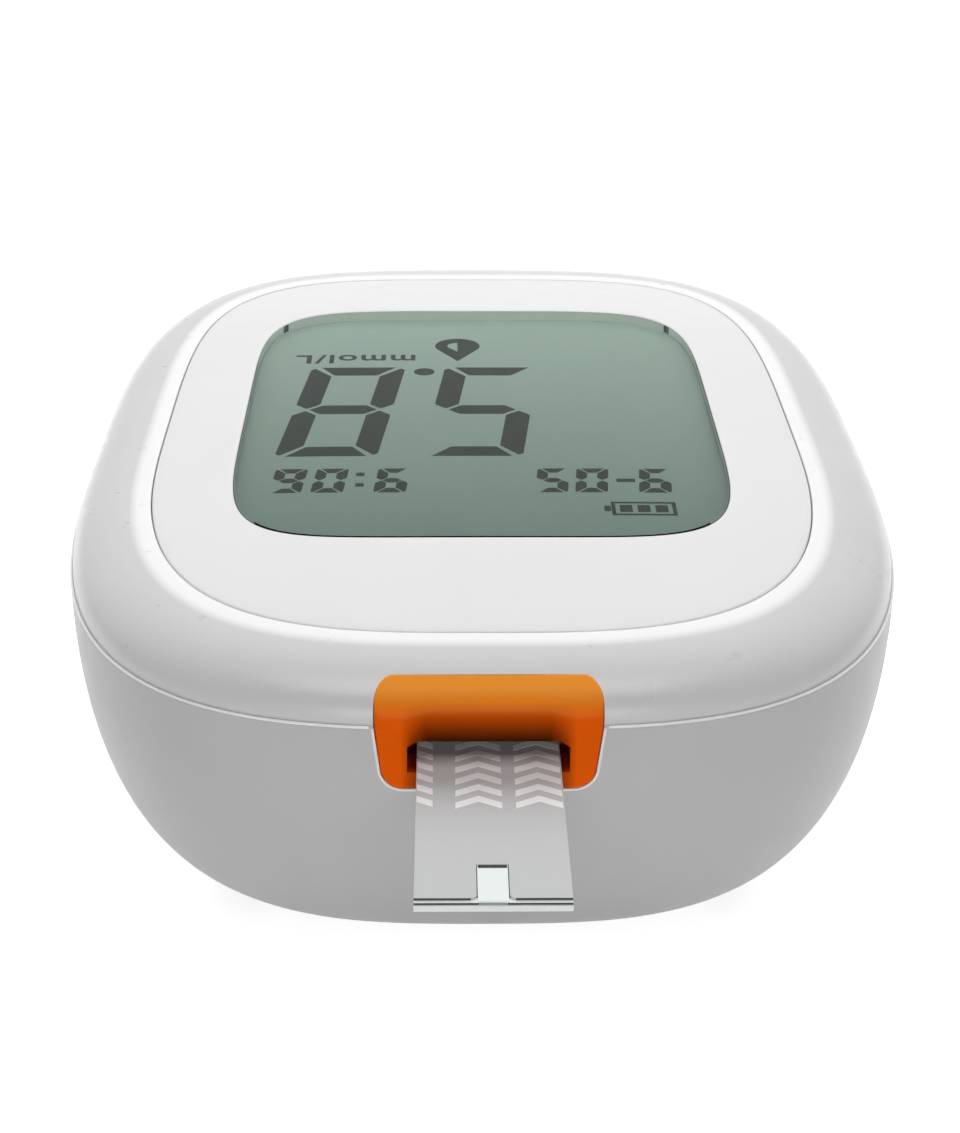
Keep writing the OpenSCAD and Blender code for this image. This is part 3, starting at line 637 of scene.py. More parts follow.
@dataclass(frozen=True)
class Plastic:
    """Moulded plastic: a little mottled, with a fine spark-eroded grain and softened edges."""

    name: str
    colour: Colour
    roughness: float = 0.3
    mottle: float = 0.015
    grain_size: float = 0.25
    grain_depth: float = 0.004
    edge: float = 0.0
    coat: float = 0.0
    shine: float = 0.5

    def make(self) -> Material:
        """Makes the material."""
        shader = Shader(self.name)
        darker = tuple(c * (1 - 2 * self.mottle) for c in self.colour)
        shader.link(shader.blend(shader.spans(shader.noise(9.0), 0.0, 1.0), self.colour, darker),
                    "Base Color")
        shader.link(shader.spans(shader.noise(2.5, 5.0), self.roughness - 0.03, self.roughness + 0.04),
                    "Roughness")
        normal = shader.round_edges(self.edge) if self.edge else None
        shader.link(shader.bump(shader.noise(self.grain_size, 2.0), self.grain_depth, normal), "Normal")
        shader.set(IOR=1.49, Coat_Weight=self.coat, Coat_Roughness=0.08, Specular_IOR_Level=self.shine)
        return shader.material


@dataclass(frozen=True)
class Window:
    """Clear moulded plastic with a coating that holds back reflections, and the least trace of wiping."""

    name: str
    ior: float = 1.15
    mirror_ior: float = 1.1

    def make(self) -> Material:
        """Makes the material."""
        shader = Shader(self.name)
        gloss = shader.node("ShaderNodeBsdfGlossy", {"Color": (1, 1, 1, 1)})
        shader.tree.links.new(shader.spans(shader.noise(5.0, 4.0, (1, 3, 1)), 0.0, 0.03),
                              gloss.inputs["Roughness"])
        bent = shader.node("ShaderNodeBsdfRefraction",
                           {"Color": (1, 1, 1, 1), "Roughness": 0.0, "IOR": self.ior})
        fresnel = shader.node("ShaderNodeFresnel", {"IOR": self.mirror_ior})
        mix = shader.node("ShaderNodeMixShader",
                          {0: fresnel.outputs[0], 1: bent.outputs[0], 2: gloss.outputs[0]})
        shader.tree.links.new(mix.outputs[0], shader.tree.nodes["Material Output"].inputs["Surface"])
        shader.tree.nodes.remove(shader.surface)
        return shader.material


@dataclass(frozen=True)
class Clear:
    """Clear film or glass: it lets light through and mirrors at a low angle."""

    name: str
    tint: Colour = (0.97, 0.985, 0.975)
    roughness: float = 0.04
    ior: float = 1.49

    def make(self) -> Material:
        """Makes the material."""
        shader = Shader(self.name)
        shader.set(Base_Color=(*self.tint, 1), IOR=self.ior)
        shader.link(shader.spans(shader.noise(3.0, 4.0), self.roughness * 0.7, self.roughness * 1.4),
                    "Roughness")
        gloss = shader.node("ShaderNodeBsdfGlossy", {"Color": (1, 1, 1, 1)})
        shader.tree.links.new(
            shader.spans(shader.noise(3.0, 4.0), self.roughness * 0.7, self.roughness * 1.4),
            gloss.inputs["Roughness"])
        through = shader.node("ShaderNodeBsdfTransparent", {"Color": (*self.tint, 1)})
        # light leaves the far side as it entered, so both sides mirror alike
        behind = shader.node("ShaderNodeNewGeometry").outputs["Backfacing"]
        fresnel = shader.node("ShaderNodeFresnel",
                              {"IOR": shader.spans(behind, self.ior, 1 / self.ior, 0, 1)})
        mix = shader.node("ShaderNodeMixShader", {
            0: fresnel.outputs[0], 1: through.outputs[0], 2: gloss.outputs[0],
        })
        shader.tree.links.new(mix.outputs[0], shader.tree.nodes["Material Output"].inputs["Surface"])
        shader.tree.nodes.remove(shader.surface)
        return shader.material


@dataclass(frozen=True)
class Metal:
    """Plated or plain sheet and wire."""

    name: str
    colour: Colour
    roughness: float = 0.28
    brushed: Vec = (1, 1, 1)

    def make(self) -> Material:
        """Makes the material."""
        shader = Shader(self.name)
        dull = tuple(c * 0.82 for c in self.colour)
        shader.link(shader.blend(shader.spans(shader.noise(1.6, 4.0), 0, 1), self.colour, dull), "Base Color")
        lines = shader.noise(0.12, 3.0, self.brushed)
        shader.link(shader.spans(lines, self.roughness - 0.08, self.roughness + 0.1), "Roughness")
        shader.link(shader.bump(lines, 0.003), "Normal")
        shader.set(Metallic=1.0)
        return shader.material


@dataclass(frozen=True)
class Film:
    """Printed or coated film: a flat colour with a faint weave of its own and a soft sheen."""

    name: str
    colour: Colour
    roughness: float = 0.35
    speck: float = 0.04
    shine: float = 0.5

    def make(self) -> Material:
        """Makes the material."""
        shader = Shader(self.name)
        darker = tuple(c * (1 - self.speck) for c in self.colour)
        shader.link(shader.blend(shader.spans(shader.noise(0.18, 4.0), 0, 1), self.colour, darker),
                    "Base Color")
        shader.link(shader.spans(shader.noise(0.8, 4.0), self.roughness - 0.05, self.roughness + 0.05),
                    "Roughness")
        shader.link(shader.bump(shader.noise(0.1, 2.0), 0.002), "Normal")
        shader.set(Specular_IOR_Level=self.shine)
        return shader.material


@dataclass(frozen=True)
class Rubber:
    """Matt rubber with dust in its pores."""

    name: str
    colour: Colour

    def make(self) -> Material:
        """Makes the material."""
        shader = Shader(self.name)
        dusty = tuple(min(c * 1.5 + 0.02, 1.0) for c in self.colour)
        shader.link(shader.blend(shader.spans(shader.noise(0.9, 6.0), 0, 0.7), self.colour, dusty),
                    "Base Color")
        shader.link(shader.spans(shader.noise(0.6, 4.0), 0.6, 0.8), "Roughness")
        shader.link(shader.bump(shader.noise(0.15, 3.0), 0.01), "Normal")
        shader.set(Sheen_Weight=0.15)
        return shader.material


@dataclass(frozen=True)
class ShadeGradedFilm:
    """The display's grey-green film, with painted shade at its near end and a painted reflection that makes it paler
    towards its far end.
    """

    name: str
    near: Colour
    far: Colour
    near_y: float
    far_y: float

    def make(self) -> Material:
        """Makes the material."""
        shader = Shader(self.name)
        # painted shade and reflection: the colour runs from the dark near tone to the pale far tone along Y
        run = shader.spans(shader.axis(Axis.Y), 0, 1, self.near_y * MM, self.far_y * MM)
        painted_tone = shader.blend(run, self.near, self.far)
        pale = shader.blend(shader.spans(shader.noise(0.06, 3.0), 0, 0.5), painted_tone, self.far)
        shader.link(shader.blend(0.25, painted_tone, pale), "Base Color")
        shader.link(shader.spans(shader.noise(0.1, 2.0), 0.45, 0.6), "Roughness")
        shader.link(shader.bump(shader.noise(0.05, 2.0), 0.002), "Normal")
        shader.set(Specular_IOR_Level=0.05)
        return shader.material


@dataclass(frozen=True)
class Board:
    """Solder mask over copper, with tracks that show as a faint relief."""

    name: str
    colour: Colour

    def make(self) -> Material:
        """Makes the material."""
        shader = Shader(self.name)
        tracks = shader.node("ShaderNodeTexVoronoi", {
            "Vector": shader.place, "Scale": 1 / (2.2 * MM),
        }, feature="DISTANCE_TO_EDGE").outputs["Distance"]
        copper = shader.spans(tracks, 1, 0, 0.04, 0.09)
        lit = tuple(min(c * 1.6 + 0.01, 1.0) for c in self.colour)
        shader.link(shader.blend(copper, self.colour, lit), "Base Color")
        shader.link(shader.spans(shader.noise(0.8, 3.0), 0.3, 0.45), "Roughness")
        shader.link(shader.bump(copper, 0.02), "Normal")
        return shader.material


@dataclass(frozen=True)
class RimHighlighted:
    """Moulded plastic with a painted highlight: its top rim is painted brighter than the fine grain below it."""

    name: str
    colour: Colour
    rim_highlight_colour: Colour
    start: float
    end: float

    def make(self) -> Material:
        """Makes the material."""
        shader = Shader(self.name)
        darker = tuple(c * 0.97 for c in self.colour)
        base = shader.blend(shader.spans(shader.noise(9.0), 0.0, 1.0), self.colour, darker)
        # painted highlight: above the start height the colour blends into the bright rim colour
        rise = shader.spans(shader.axis(Axis.Z), 0, 1, self.start * MM, self.end * MM)
        shader.link(shader.blend(rise, base, self.rim_highlight_colour), "Base Color")
        shader.link(shader.spans(shader.noise(2.5, 5.0), 0.27, 0.34), "Roughness")
        normal = shader.round_edges(0.06)
        shader.link(shader.bump(shader.noise(0.25, 2.0), 0.003, normal), "Normal")
        shader.set(IOR=1.49)
        return shader.material


@dataclass(frozen=True)
class PaintedLightOrange:
    """The surround's orange plastic, with painted shade that darkens it to brown in the scoop under the hood and
    inside the mouth, and a painted highlight on its top.
    """

    name: str
    colour: Colour
    crest_highlight: Colour
    deep: Colour
    form: Form

    def make(self) -> Material:
        """Makes the material."""
        shader = Shader(self.name)
        cover = Box.of("strip_cover")
        # painted shade in the scoop: darkest at the hood's lower edge, fading upwards and towards the sides
        low = cover.hi[2] + 1.0
        height = shader.spans(shader.axis(Axis.Z), 1, 0, low * MM, (low + 2.9) * MM)
        side = shader.node("ShaderNodeMath", {0: shader.axis(Axis.X)}, operation="ABSOLUTE").outputs[0]
        half = cover.hi[0]
        middle = shader.spans(side, 1, 0, (half - 0.6) * MM, (half + 1.0) * MM)
        scoop = shader.node("ShaderNodeMath", {0: height, 1: middle}, operation="MULTIPLY").outputs[0]
        # painted shade inside the mouth, behind its front and below the hood
        sunk = shader.spans(shader.axis(Axis.Y), 0, 1, (1.1 - self.form.half_l) * MM,
                            (2.0 - self.form.half_l) * MM)
        under = shader.spans(shader.axis(Axis.Z), 1, 0, (low - 0.05) * MM, (low + 0.05) * MM)
        inside = shader.node("ShaderNodeMath", {0: sunk, 1: under}, operation="MULTIPLY").outputs[0]
        inside = shader.node("ShaderNodeMath", {0: inside, 1: middle}, operation="MULTIPLY").outputs[0]
        both = shader.node("ShaderNodeMath", {0: scoop, 1: inside}, operation="MAXIMUM").outputs[0]
        dark = shader.node("ShaderNodeMath", {0: both, 1: 0.8}, operation="POWER").outputs[0]
        orange = shader.blend(shader.spans(shader.noise(5.0), 0.0, 1.0), self.colour,
                              tuple(c * 0.94 for c in self.colour))
        # painted highlight: towards the top the colour turns to the pale crest colour
        top = self.form.rim - 0.9
        rise = shader.spans(shader.axis(Axis.Z), 0, 1, (top - 1.5) * MM, top * MM)
        lit = shader.blend(rise, orange, self.crest_highlight)
        # the painted shade mixes the colour towards the deep brown
        shader.link(shader.blend(dark, lit, self.deep), "Base Color")
        shader.link(shader.spans(shader.noise(2.5, 5.0), 0.2, 0.27), "Roughness")
        shader.link(shader.bump(shader.noise(0.25, 2.0), 0.002), "Normal")
        shader.set(Specular_IOR_Level=0.04)
        return shader.material


class Paints:
    """Every finish of the meter, made once and kept by the record's slot."""

    def __init__(self, form: Form) -> None:
        """Makes the materials."""
        glass = Box.of("lcd_front")
        finishes = {
            # the upper shell's bright rim is a painted highlight
            "shell_white": RimHighlighted(
                "shell_white", (0.69, 0.69, 0.69), (0.98, 0.98, 0.98), form.rim - 0.06, form.rim - 0.012),
            "shell_grey": Plastic("shell_grey", (0.6, 0.6, 0.605), 0.42, edge=0.06, shine=0.3),
            # a near-white bead finish that stands for painted highlights on edges
            "bead_white": Plastic("bead_white", (0.95, 0.95, 0.95), 0.2, mottle=0.004, grain_depth=0.0005),
            # the gasket's far end is painted pale to match the display film's painted reflection
            "gasket": ShadeGradedFilm("gasket", (0.03, 0.045, 0.04), (0.6, 0.7, 0.64), 12.0, 24.0),
            "panel_white": Plastic("panel_white", (0.87, 0.87, 0.87), 0.2, mottle=0.008, grain_depth=0.001),
            "clear_lens": Window("clear_lens"),
            # port_orange carries painted shade in its scoop and mouth and a painted highlight on its top
            "port_orange": PaintedLightOrange("port_orange", (0.95, 0.125, 0.0), (1.0, 0.34, 0.03),
                                   (0.05, 0.008, 0.0), form),
            # the mouth lining's dark brown is painted shade on the orange plastic
            "mouth_dark": Plastic("mouth_dark", (0.16, 0.012, 0.0), 0.4, mottle=0.02, shine=0.1),
            "lcd_glass": Clear("lcd_glass", (0.93, 0.96, 0.94), 0.08, 1.1),
            # the display film's near-to-far gradient is painted shade and reflection
            "lcd_film": ShadeGradedFilm(
                "lcd_film", (0.112, 0.165, 0.142), (0.285, 0.385, 0.325), glass.lo[1], glass.hi[1]),
            "reflector_silver": Metal("reflector_silver", (0.6, 0.62, 0.6), 0.4),
            "frame_white": Plastic("frame_white", (0.7, 0.7, 0.68), 0.5),
            "connector_rubber": Rubber("connector_rubber", (0.05, 0.05, 0.055)),
            "board_green": Board("board_green", (0.01, 0.09, 0.04)),
            "chip_black": Plastic("chip_black", (0.02, 0.02, 0.022), 0.5, grain_depth=0.01),
            "steel": Metal("steel", (0.62, 0.62, 0.63), 0.3),
            "ceramic_tan": Plastic("ceramic_tan", (0.36, 0.24, 0.14), 0.5),
            "socket_cream": Plastic("socket_cream", (0.66, 0.62, 0.5), 0.45),
            "contact_gold": Metal("contact_gold", (0.9, 0.62, 0.25), 0.22),
            "button_white": Plastic("button_white", (0.8, 0.8, 0.8), 0.3),
            "spring_nickel": Metal("spring_nickel", (0.72, 0.7, 0.65), 0.2),
            "foot_rubber": Rubber("foot_rubber", (0.16, 0.16, 0.165)),
            "strip_white": Film("strip_white", (0.94, 0.97, 0.96), 0.35),
            # dark film for the painted shadow lines at the strip's layer ends and notch
            "strip_glue": Film("strip_glue", (0.05, 0.055, 0.055), 0.5),
            "cell_jacket": Plastic("cell_jacket", (0.55, 0.57, 0.6), 0.25, mottle=0.01,
                                   grain_depth=0.001, coat=0.4),
            "cell_ring": Plastic("cell_ring", (0.03, 0.05, 0.12), 0.25, mottle=0.01, grain_depth=0.001,
                                 coat=0.4),
            "strip_grey": Film("strip_grey", (0.61, 0.62, 0.622), 0.45, 0.02, shine=0.2),
            "strip_clear": Film("strip_clear", (0.93, 1.0, 0.97), 0.15, 0.02),
            "carbon_black": Film("carbon_black", (0.025, 0.025, 0.025), 0.6),
            "segment_dark": Film("segment_dark", (0.016, 0.024, 0.019), 0.5, shine=0.05),
            "print_white": Film("print_white", (1.0, 1.0, 1.0), 0.4, shine=0.2),
        }
        self.made = {slot: finish.make() for slot, finish in finishes.items()}

    def __getitem__(self, slot: str) -> Material:
        """The material of a slot."""
        return self.made[slot]


def fit(piece: Obj, material: Material, body: Body, slot: str, *nodes: str) -> None:
    """Dresses a piece, hides the CAD nodes that it stands for, and hangs it on its body.

    Args:
        piece: The piece, in place.
        material: Its finish.
        body: The body that it rides on.
        slot: Not used.
        nodes: The CAD nodes that it stands for.
    """
    piece.data.materials.clear()
    piece.data.materials.append(material)
    if nodes:
        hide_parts(*nodes)
    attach(piece, body.value)
    LOG.info("%s: %d faces, on %s", piece.name, len(piece.data.polygons), body.value)


# ---------------------------------------------------------------- shells

@dataclass
class PortOutline:
    """Outline of the strip port's surround on the housing: a low front with round corners, and a rounded top edge."""

    half_w: float
    bottom: float
    back: float
    parting: float
    taper: float = 0.35
    corner: float = 1.5
    top_corner_x: float = 1.4
    top_corner_y: float = 2.1
    gap: float = 0.04

    def plan(self, grow: float) -> list[Point]:
        """Outline of the top edge in X and Y, grown by a gap, out past the front."""
        w, back = self.half_w + grow, self.back + grow
        rx, ry = self.top_corner_x, self.top_corner_y
        turn = np.radians(np.linspace(0, 90, 11))
        right = [(w - rx + rx * math.cos(a), back - ry + ry * math.sin(a)) for a in turn]
        right = [(w, back - 12)] + right
        return right + [(-x, y) for x, y in reversed(right)]

    def cutter(self, grow: float) -> tuple[Mould, Mould]:
        """Tools that cut room for the surround: below the joint line, and above it."""
        lower, upper = Mould(), Mould()
        lower.prism(self.front(grow), self.back - 8, self.back + grow, Axis.Y)
        upper.prism(self.plan(grow), self.parting - 0.5, self.parting + 6)
        return lower, upper

    def front(self, grow: float) -> list[Point]:
        """Front outline in X and Z, up to just above the joint line."""
        w, low, r = self.half_w + grow, self.half_w + grow - self.taper, self.corner + grow
        top = self.parting + 0.3
        right = arc((low - r, self.bottom - grow + r), r, -90, 0, 10) + [(w, self.parting - 0.01), (w, top)]
        return right + [(-x, z) for x, z in reversed(right)]


@dataclass
class UpperShell:
    """The shallow upper shell: shoulder, rim, recess for the face sheet, and the port's cut-out.

    The lip sets its foot back from the lower shell, and the edge is the rim's radius at the face sheet.
    """

    form: Form
    outline: Outline
    port: PortOutline
    lip: float = 0.2
    edge: float = 0.12
    steps: int = 40

    def build(self) -> Obj:
        """Lofts the shell round its section and cuts the port out."""
        f, o, steps, edge = self.form, self.outline, self.steps, self.edge
        inner = [f.half_w - f.wall, f.half_l - f.wall]
        rings = [o.ring(inner[0], inner[1], f.parting)]
        top_share = 1 - edge / (f.half_w - f.panel_half[0])
        low = f.parting + f.edge_break
        for j in range(steps + 1):
            share, z = f.shoulder(90 * j / steps)
            if share > top_share:
                break
            # the foot of the shoulder stands back from the lower shell by a lip
            halves = f.shoulder_halves(share, -self.lip * (1 - share) ** 4)
            height = f.parting + (z - low) * (f.rim - f.parting) / (f.rim - low)
            rings.append(o.ring(*halves, height, o.face_power(share)))
        power = o.face_power()
        seat = [h + f.seat_gap * 0.4 for h in f.panel_half]
        hole = [f.lens.hi[0] + 3.6, f.lens.hi[1] + 5.0]
        for a in (0, 30, 60, 90):
            turn = math.radians(a)
            out, down = edge * (1 - math.sin(turn)), edge * (1 - math.cos(turn))
            rings.append(o.ring(seat[0] + out, seat[1] + out, f.rim - down, power))
        rings += [
            o.ring(seat[0], seat[1], f.face_seat, power),
            o.ring(hole[0], hole[1], f.face_seat),
            o.ring(hole[0], hole[1], f.parting),
        ]
        mould = Mould()
        mould.loft(rings, around=True)
        shell = mould.cast("upper_shell")
        for tool in self.port.cutter(self.port.gap):
            carve(shell, tool)
        smooth(shell)
        even_shading(shell)
        return shell


def joint_bead(form: Form, outline: Outline, port: PortOutline, material: Material) -> Obj:
    """Draws a pale bead along the joint line, from one side of the port round to the other, as a painted highlight on
    the joint's edge.

    Args:
        form: The housing's measures.
        outline: Its rings.
        port: The port's outline.
        material: The bead's finish.
    Returns:
        The bead.
    """
    ring = outline.ring(form.half_w - 0.07, form.half_l - 0.07, form.parting - 0.09)
    open_front = (ring[:, 1] < 0) & (np.abs(ring[:, 0]) < port.half_w + 0.15)
    start = int(np.flatnonzero(open_front)[-1]) + 1
    turned = np.roll(ring, -start, axis=0)
    kept = turned[: len(ring) - int(open_front.sum())]
    return sweep("joint_bead", [tuple(point) for point in kept], 0.1, material)


@dataclass
class LowerShell:
    """The deep lower shell, with the battery bay and every opening cut through it."""

    form: Form
    outline: Outline
    port: PortOutline
    button: Box = measured("main_button")
    key: Box = measured("set_button")
    buzzer: Box = measured("buzzer")
    left_cell: Box = measured("cell_left")
    right_cell: Box = measured("cell_right")
    plates: Box = measured("battery_plates")
    screws: Box = measured("housing_screws")
    feet: Box = measured("rubber_feet")
    chamfer: float = 0.21
    bay_wall: float = 1.2
    bay_roof: float = 0.7
    boss: float = 3.0
    screw_head: float = 1.95
    screw_hole: float = 1.25
    foot: float = 2.8
    key_radius: float = 2.0
    sound_hole: float = 0.5
    sound_ring: float = 2.4
    button_half: tuple[float, float] = (6.75, 2.1)

    def rings(self, steps: int = 40) -> list[np.ndarray]:
        """Rings from the underside up the outside, and down the inside to the floor."""
        f, o = self.form, self.outline
        rings = []
        for j in range(steps, -1, -1):
            inset, z = f.bowl(90 * j / steps)
            rings.append(o.ring(f.half_w - inset, f.half_l - inset, min(z, f.parting - self.chamfer)))
        rings.append(o.ring(f.half_w - self.chamfer, f.half_l - self.chamfer, f.parting))
        for j in range(0, steps + 1, 2):
            inset, z = f.bowl(90 * j / steps)
            drop = (f.parting - z) / (f.parting - f.underside)
            height = f.parting - (f.parting - f.floor_top) * drop
            rings.append(o.ring(f.half_w - f.wall - inset, f.half_l - f.wall - inset, height))
        return rings

    def corners(self, box: Box, radius: float) -> list[Point]:
        """Middles of four round pieces from the box round them all."""
        dx, dy = box.hi[0] - radius, box.hi[1] - radius
        return [(x, y) for x in (-dx, dx) for y in (-dy, dy)]

    def build(self) -> Obj:
        """Lofts the shell, adds bay and bosses, and cuts its openings."""
        mould = Mould()
        mould.loft(self.rings())
        shell = mould.cast("lower_shell")
        self.add_bay(shell)
        self.add_bosses(shell)
        self.cut_door(shell)
        self.cut_holes(shell)
        lower, _ = self.port.cutter(self.port.gap)
        carve(shell, lower)
        smooth(shell)
        even_shading(shell)
        return shell

    def bay_box(self) -> tuple[float, float, float, float]:
        """Half width, near end, far end and top of the hollow that holds the cells."""
        return self.right_cell.hi[0] + 0.45, self.plates.lo[1], self.plates.hi[1], self.left_cell.hi[2] + 0.1

    def add_bay(self, shell: Obj) -> None:
        """Joins the walls and roof of the battery bay onto the floor."""
        half, near, far, top = self.bay_box()
        f, wall, roof = self.form, self.bay_wall, self.bay_roof
        box = Mould()
        box.slab(2 * (half + wall), near - wall, far + wall, f.floor_top - 0.6, top + roof)
        carve(shell, box, Cut.ADD)
        foot = Mould()
        foot.slab(f.door.size(0) + 2, far, far + wall, f.floor_top - 0.6, top - 0.3)
        carve(shell, foot, Cut.ADD)

    def add_bosses(self, shell: Obj) -> None:
        """Joins the tubes that lead the housing screws up from the underside."""
        f = self.form
        limit = Mould()
        for x, y in self.corners(self.screws, self.screw_head):
            limit.turned([(self.boss, f.floor_top - 0.6), (self.boss, self.screws.hi[2] - 4)], (x, y, 0))
        tubes = limit.cast("tubes")
        inside = Mould()
        rings = []
        for j in range(20, -1, -1):
            inset, z = f.bowl(90 * j / 20)
            back = inset + f.wall * 0.6
            rings.append(self.outline.ring(f.half_w - back, f.half_l - back, z + 0.3))
        inside.loft(rings)
        carve(tubes, inside, Cut.KEEP)
        step = shell.modifiers.new("tubes", "BOOLEAN")
        step.operation, step.solver, step.object = "UNION", "MANIFOLD", tubes
        settle(shell)
        bpy.data.objects.remove(tubes)

    def cut_door(self, shell: Obj) -> None:
        """Cuts the bay's hollow and the room for the door's plate, rails and curved end."""
        f = self.form
        half, near, far, top = self.bay_box()
        plate_half = half + 0.9
        rail_half = plate_half + 1.3
        end_half = f.door.hi[0]
        gap = f.slide_gap
        rail_z = Box.of("battery_door").lo[2] + 0.8
        cuts = [
            (2 * half, near, far, f.underside - 1, top),
            (2 * (plate_half + gap), near - gap, f.half_l + 1, -1, f.floor_top + 0.01),
            (2 * (rail_half + gap), near - gap, f.half_l + 1, rail_z - gap, f.floor_top + 0.02),
            (2 * (end_half + gap), far - 0.4 - gap, f.half_l + 1, -1, f.floor_top + 0.03),
            (2 * (end_half + gap) + 0.001, far + 1.2, f.half_l + 1, -1.5, f.door.hi[2] + gap),
        ]
        for cut in cuts:
            tool = Mould()
            tool.slab(*cut)
            carve(shell, tool)

    def cut_holes(self, shell: Obj) -> None:
        """Cuts screw wells, foot pockets, the key's hole, the sound holes and the button's opening."""
        f = self.form
        gap, through = f.slide_gap, f.floor_top + 1
        holes: list[tuple[float, float, float, float, float]] = []
        screws = self.corners(self.screws, self.screw_head)
        holes += [(x, y, self.screw_head + 0.3, -1, self.screws.lo[2] + 1.4) for x, y in screws]
        holes += [(x, y, self.screw_hole, -0.5, 18.5) for x, y in screws]
        feet = self.corners(self.feet, self.foot)
        holes += [(x, y, self.foot + 0.05, -1, self.feet.hi[2]) for x, y in feet]
        holes.append((self.key.middle(0), self.key.middle(1), self.key_radius + gap, -1, through))
        bx, by = self.buzzer.middle(0), self.buzzer.middle(1)
        holes.append((bx, by, self.sound_hole, -1, through))
        for i in range(6):
            a = math.radians(60 * (i + 1))
            x, y = bx + self.sound_ring * math.cos(a), by + self.sound_ring * math.sin(a)
            holes.append((x, y, self.sound_hole, -1, through))
        for x, y, r, z0, z1 in holes:
            tool = Mould()
            tool.turned([(r, z0), (r, z1)], (x, y, 0), sides=40)
            carve(shell, tool)
        slot = Mould()
        half_w, half_h = (h + gap for h in self.button_half)
        rounded = rounded_box_outline(half_w, half_h, half_h - 0.01, 12)
        middle = self.button.middle(2)
        slot.prism([(x, z + middle) for x, z in rounded], f.half_l - 3, f.half_l + 2, Axis.Y)
        carve(shell, slot)


# ---------------------------------------------------------------- keys, door, feet and screws

@dataclass
class EndButton:
    """The crowned button in the far end wall, with its flange behind the wall."""

    box: Box
    width: float = 13.5
    height: float = 4.2
    crown: float = 30.0
    edge: float = 0.45
    flange: float = 0.8
    flange_deep: float = 0.9

    def ring(self, inset: float, drop: float) -> np.ndarray:
        """One ring of the button's front, which follows its crown."""
        w, h = self.width / 2 - inset, self.height / 2 - inset
        corners = rounded_box_outline(w, h, h - 0.01, 14)
        border = []
        for (x0, z0), (x1, z1) in zip(corners, corners[1:] + corners[:1]):
            parts = max(1, round(math.hypot(x1 - x0, z1 - z0)))
            border += [(x0 + (x1 - x0) * k / parts, z0 + (z1 - z0) * k / parts) for k in range(parts)]
        flat = np.array(border)
        crown = self.crown - np.sqrt(self.crown ** 2 - flat[:, 0] ** 2)
        return np.column_stack([flat[:, 0], self.box.hi[1] - crown - drop, self.box.middle(2) + flat[:, 1]])

    def build(self) -> Obj:
        """Lofts the button with a rounded edge and a slightly domed front, and joins its flange."""
        y0 = self.box.lo[1]
        base = self.ring(0.0, 0.0)
        base[:, 1] = y0 + self.flange_deep - 0.1
        rings = [base]
        for a in range(0, 91, 15):
            turn = math.radians(a)
            rings.append(self.ring(self.edge * (1 - math.cos(turn)), 0.15 + self.edge * (1 - math.sin(turn))))
        rings += [self.ring(inset, drop)
                  for inset, drop in ((0.8, 0.07), (1.2, 0.02), (1.7, 0.0), (2.05, 0.0))]
        mould = Mould()
        mould.loft(rings)
        button = mould.cast("end_button_cap")
        half = self.height / 2 + self.flange
        border = rounded_box_outline(self.width / 2 + self.flange, half, half - 0.01, 14)
        flange = Mould()
        middle = self.box.middle(2)
        flange.prism([(x, z + middle) for x, z in border], y0, y0 + self.flange_deep, Axis.Y)
        carve(button, flange, Cut.ADD)
        smooth(button)
        return button


@dataclass
class UnderKey:
    """The small recessed key in the underside, dished for a fingertip."""

    box: Box
    radius: float = 2.0
    flange: float = 0.8
    stem: float = 1.2
    flange_low: float = 2.5
    edge: float = 0.25

    def build(self) -> Obj:
        """Turns the key."""
        low, top = self.box.lo[2], self.box.hi[2]
        r, e = self.radius, self.edge
        dish = [(x, low + 0.18 * (1 - (x / (r - e)) ** 2)) for x in (0.02, 0.5, 1.0, 1.4, r - e)]
        turn = [math.radians(a) for a in range(15, 91, 15)]
        edge = [(r - e + e * math.sin(a), low + e * (1 - math.cos(a))) for a in turn]
        rest = [
            (r, self.flange_low), (r + self.flange, self.flange_low),
            (r + self.flange, self.flange_low + 0.8),
            (self.stem, self.flange_low + 0.8), (self.stem, top - 0.1), (self.stem - 0.1, top), (0.02, top),
        ]
        mould = Mould()
        mould.turned(dish + edge + rest, (self.box.middle(0), self.box.middle(1), 0))
        key = mould.cast("under_key_cap")
        smooth(key)
        return key


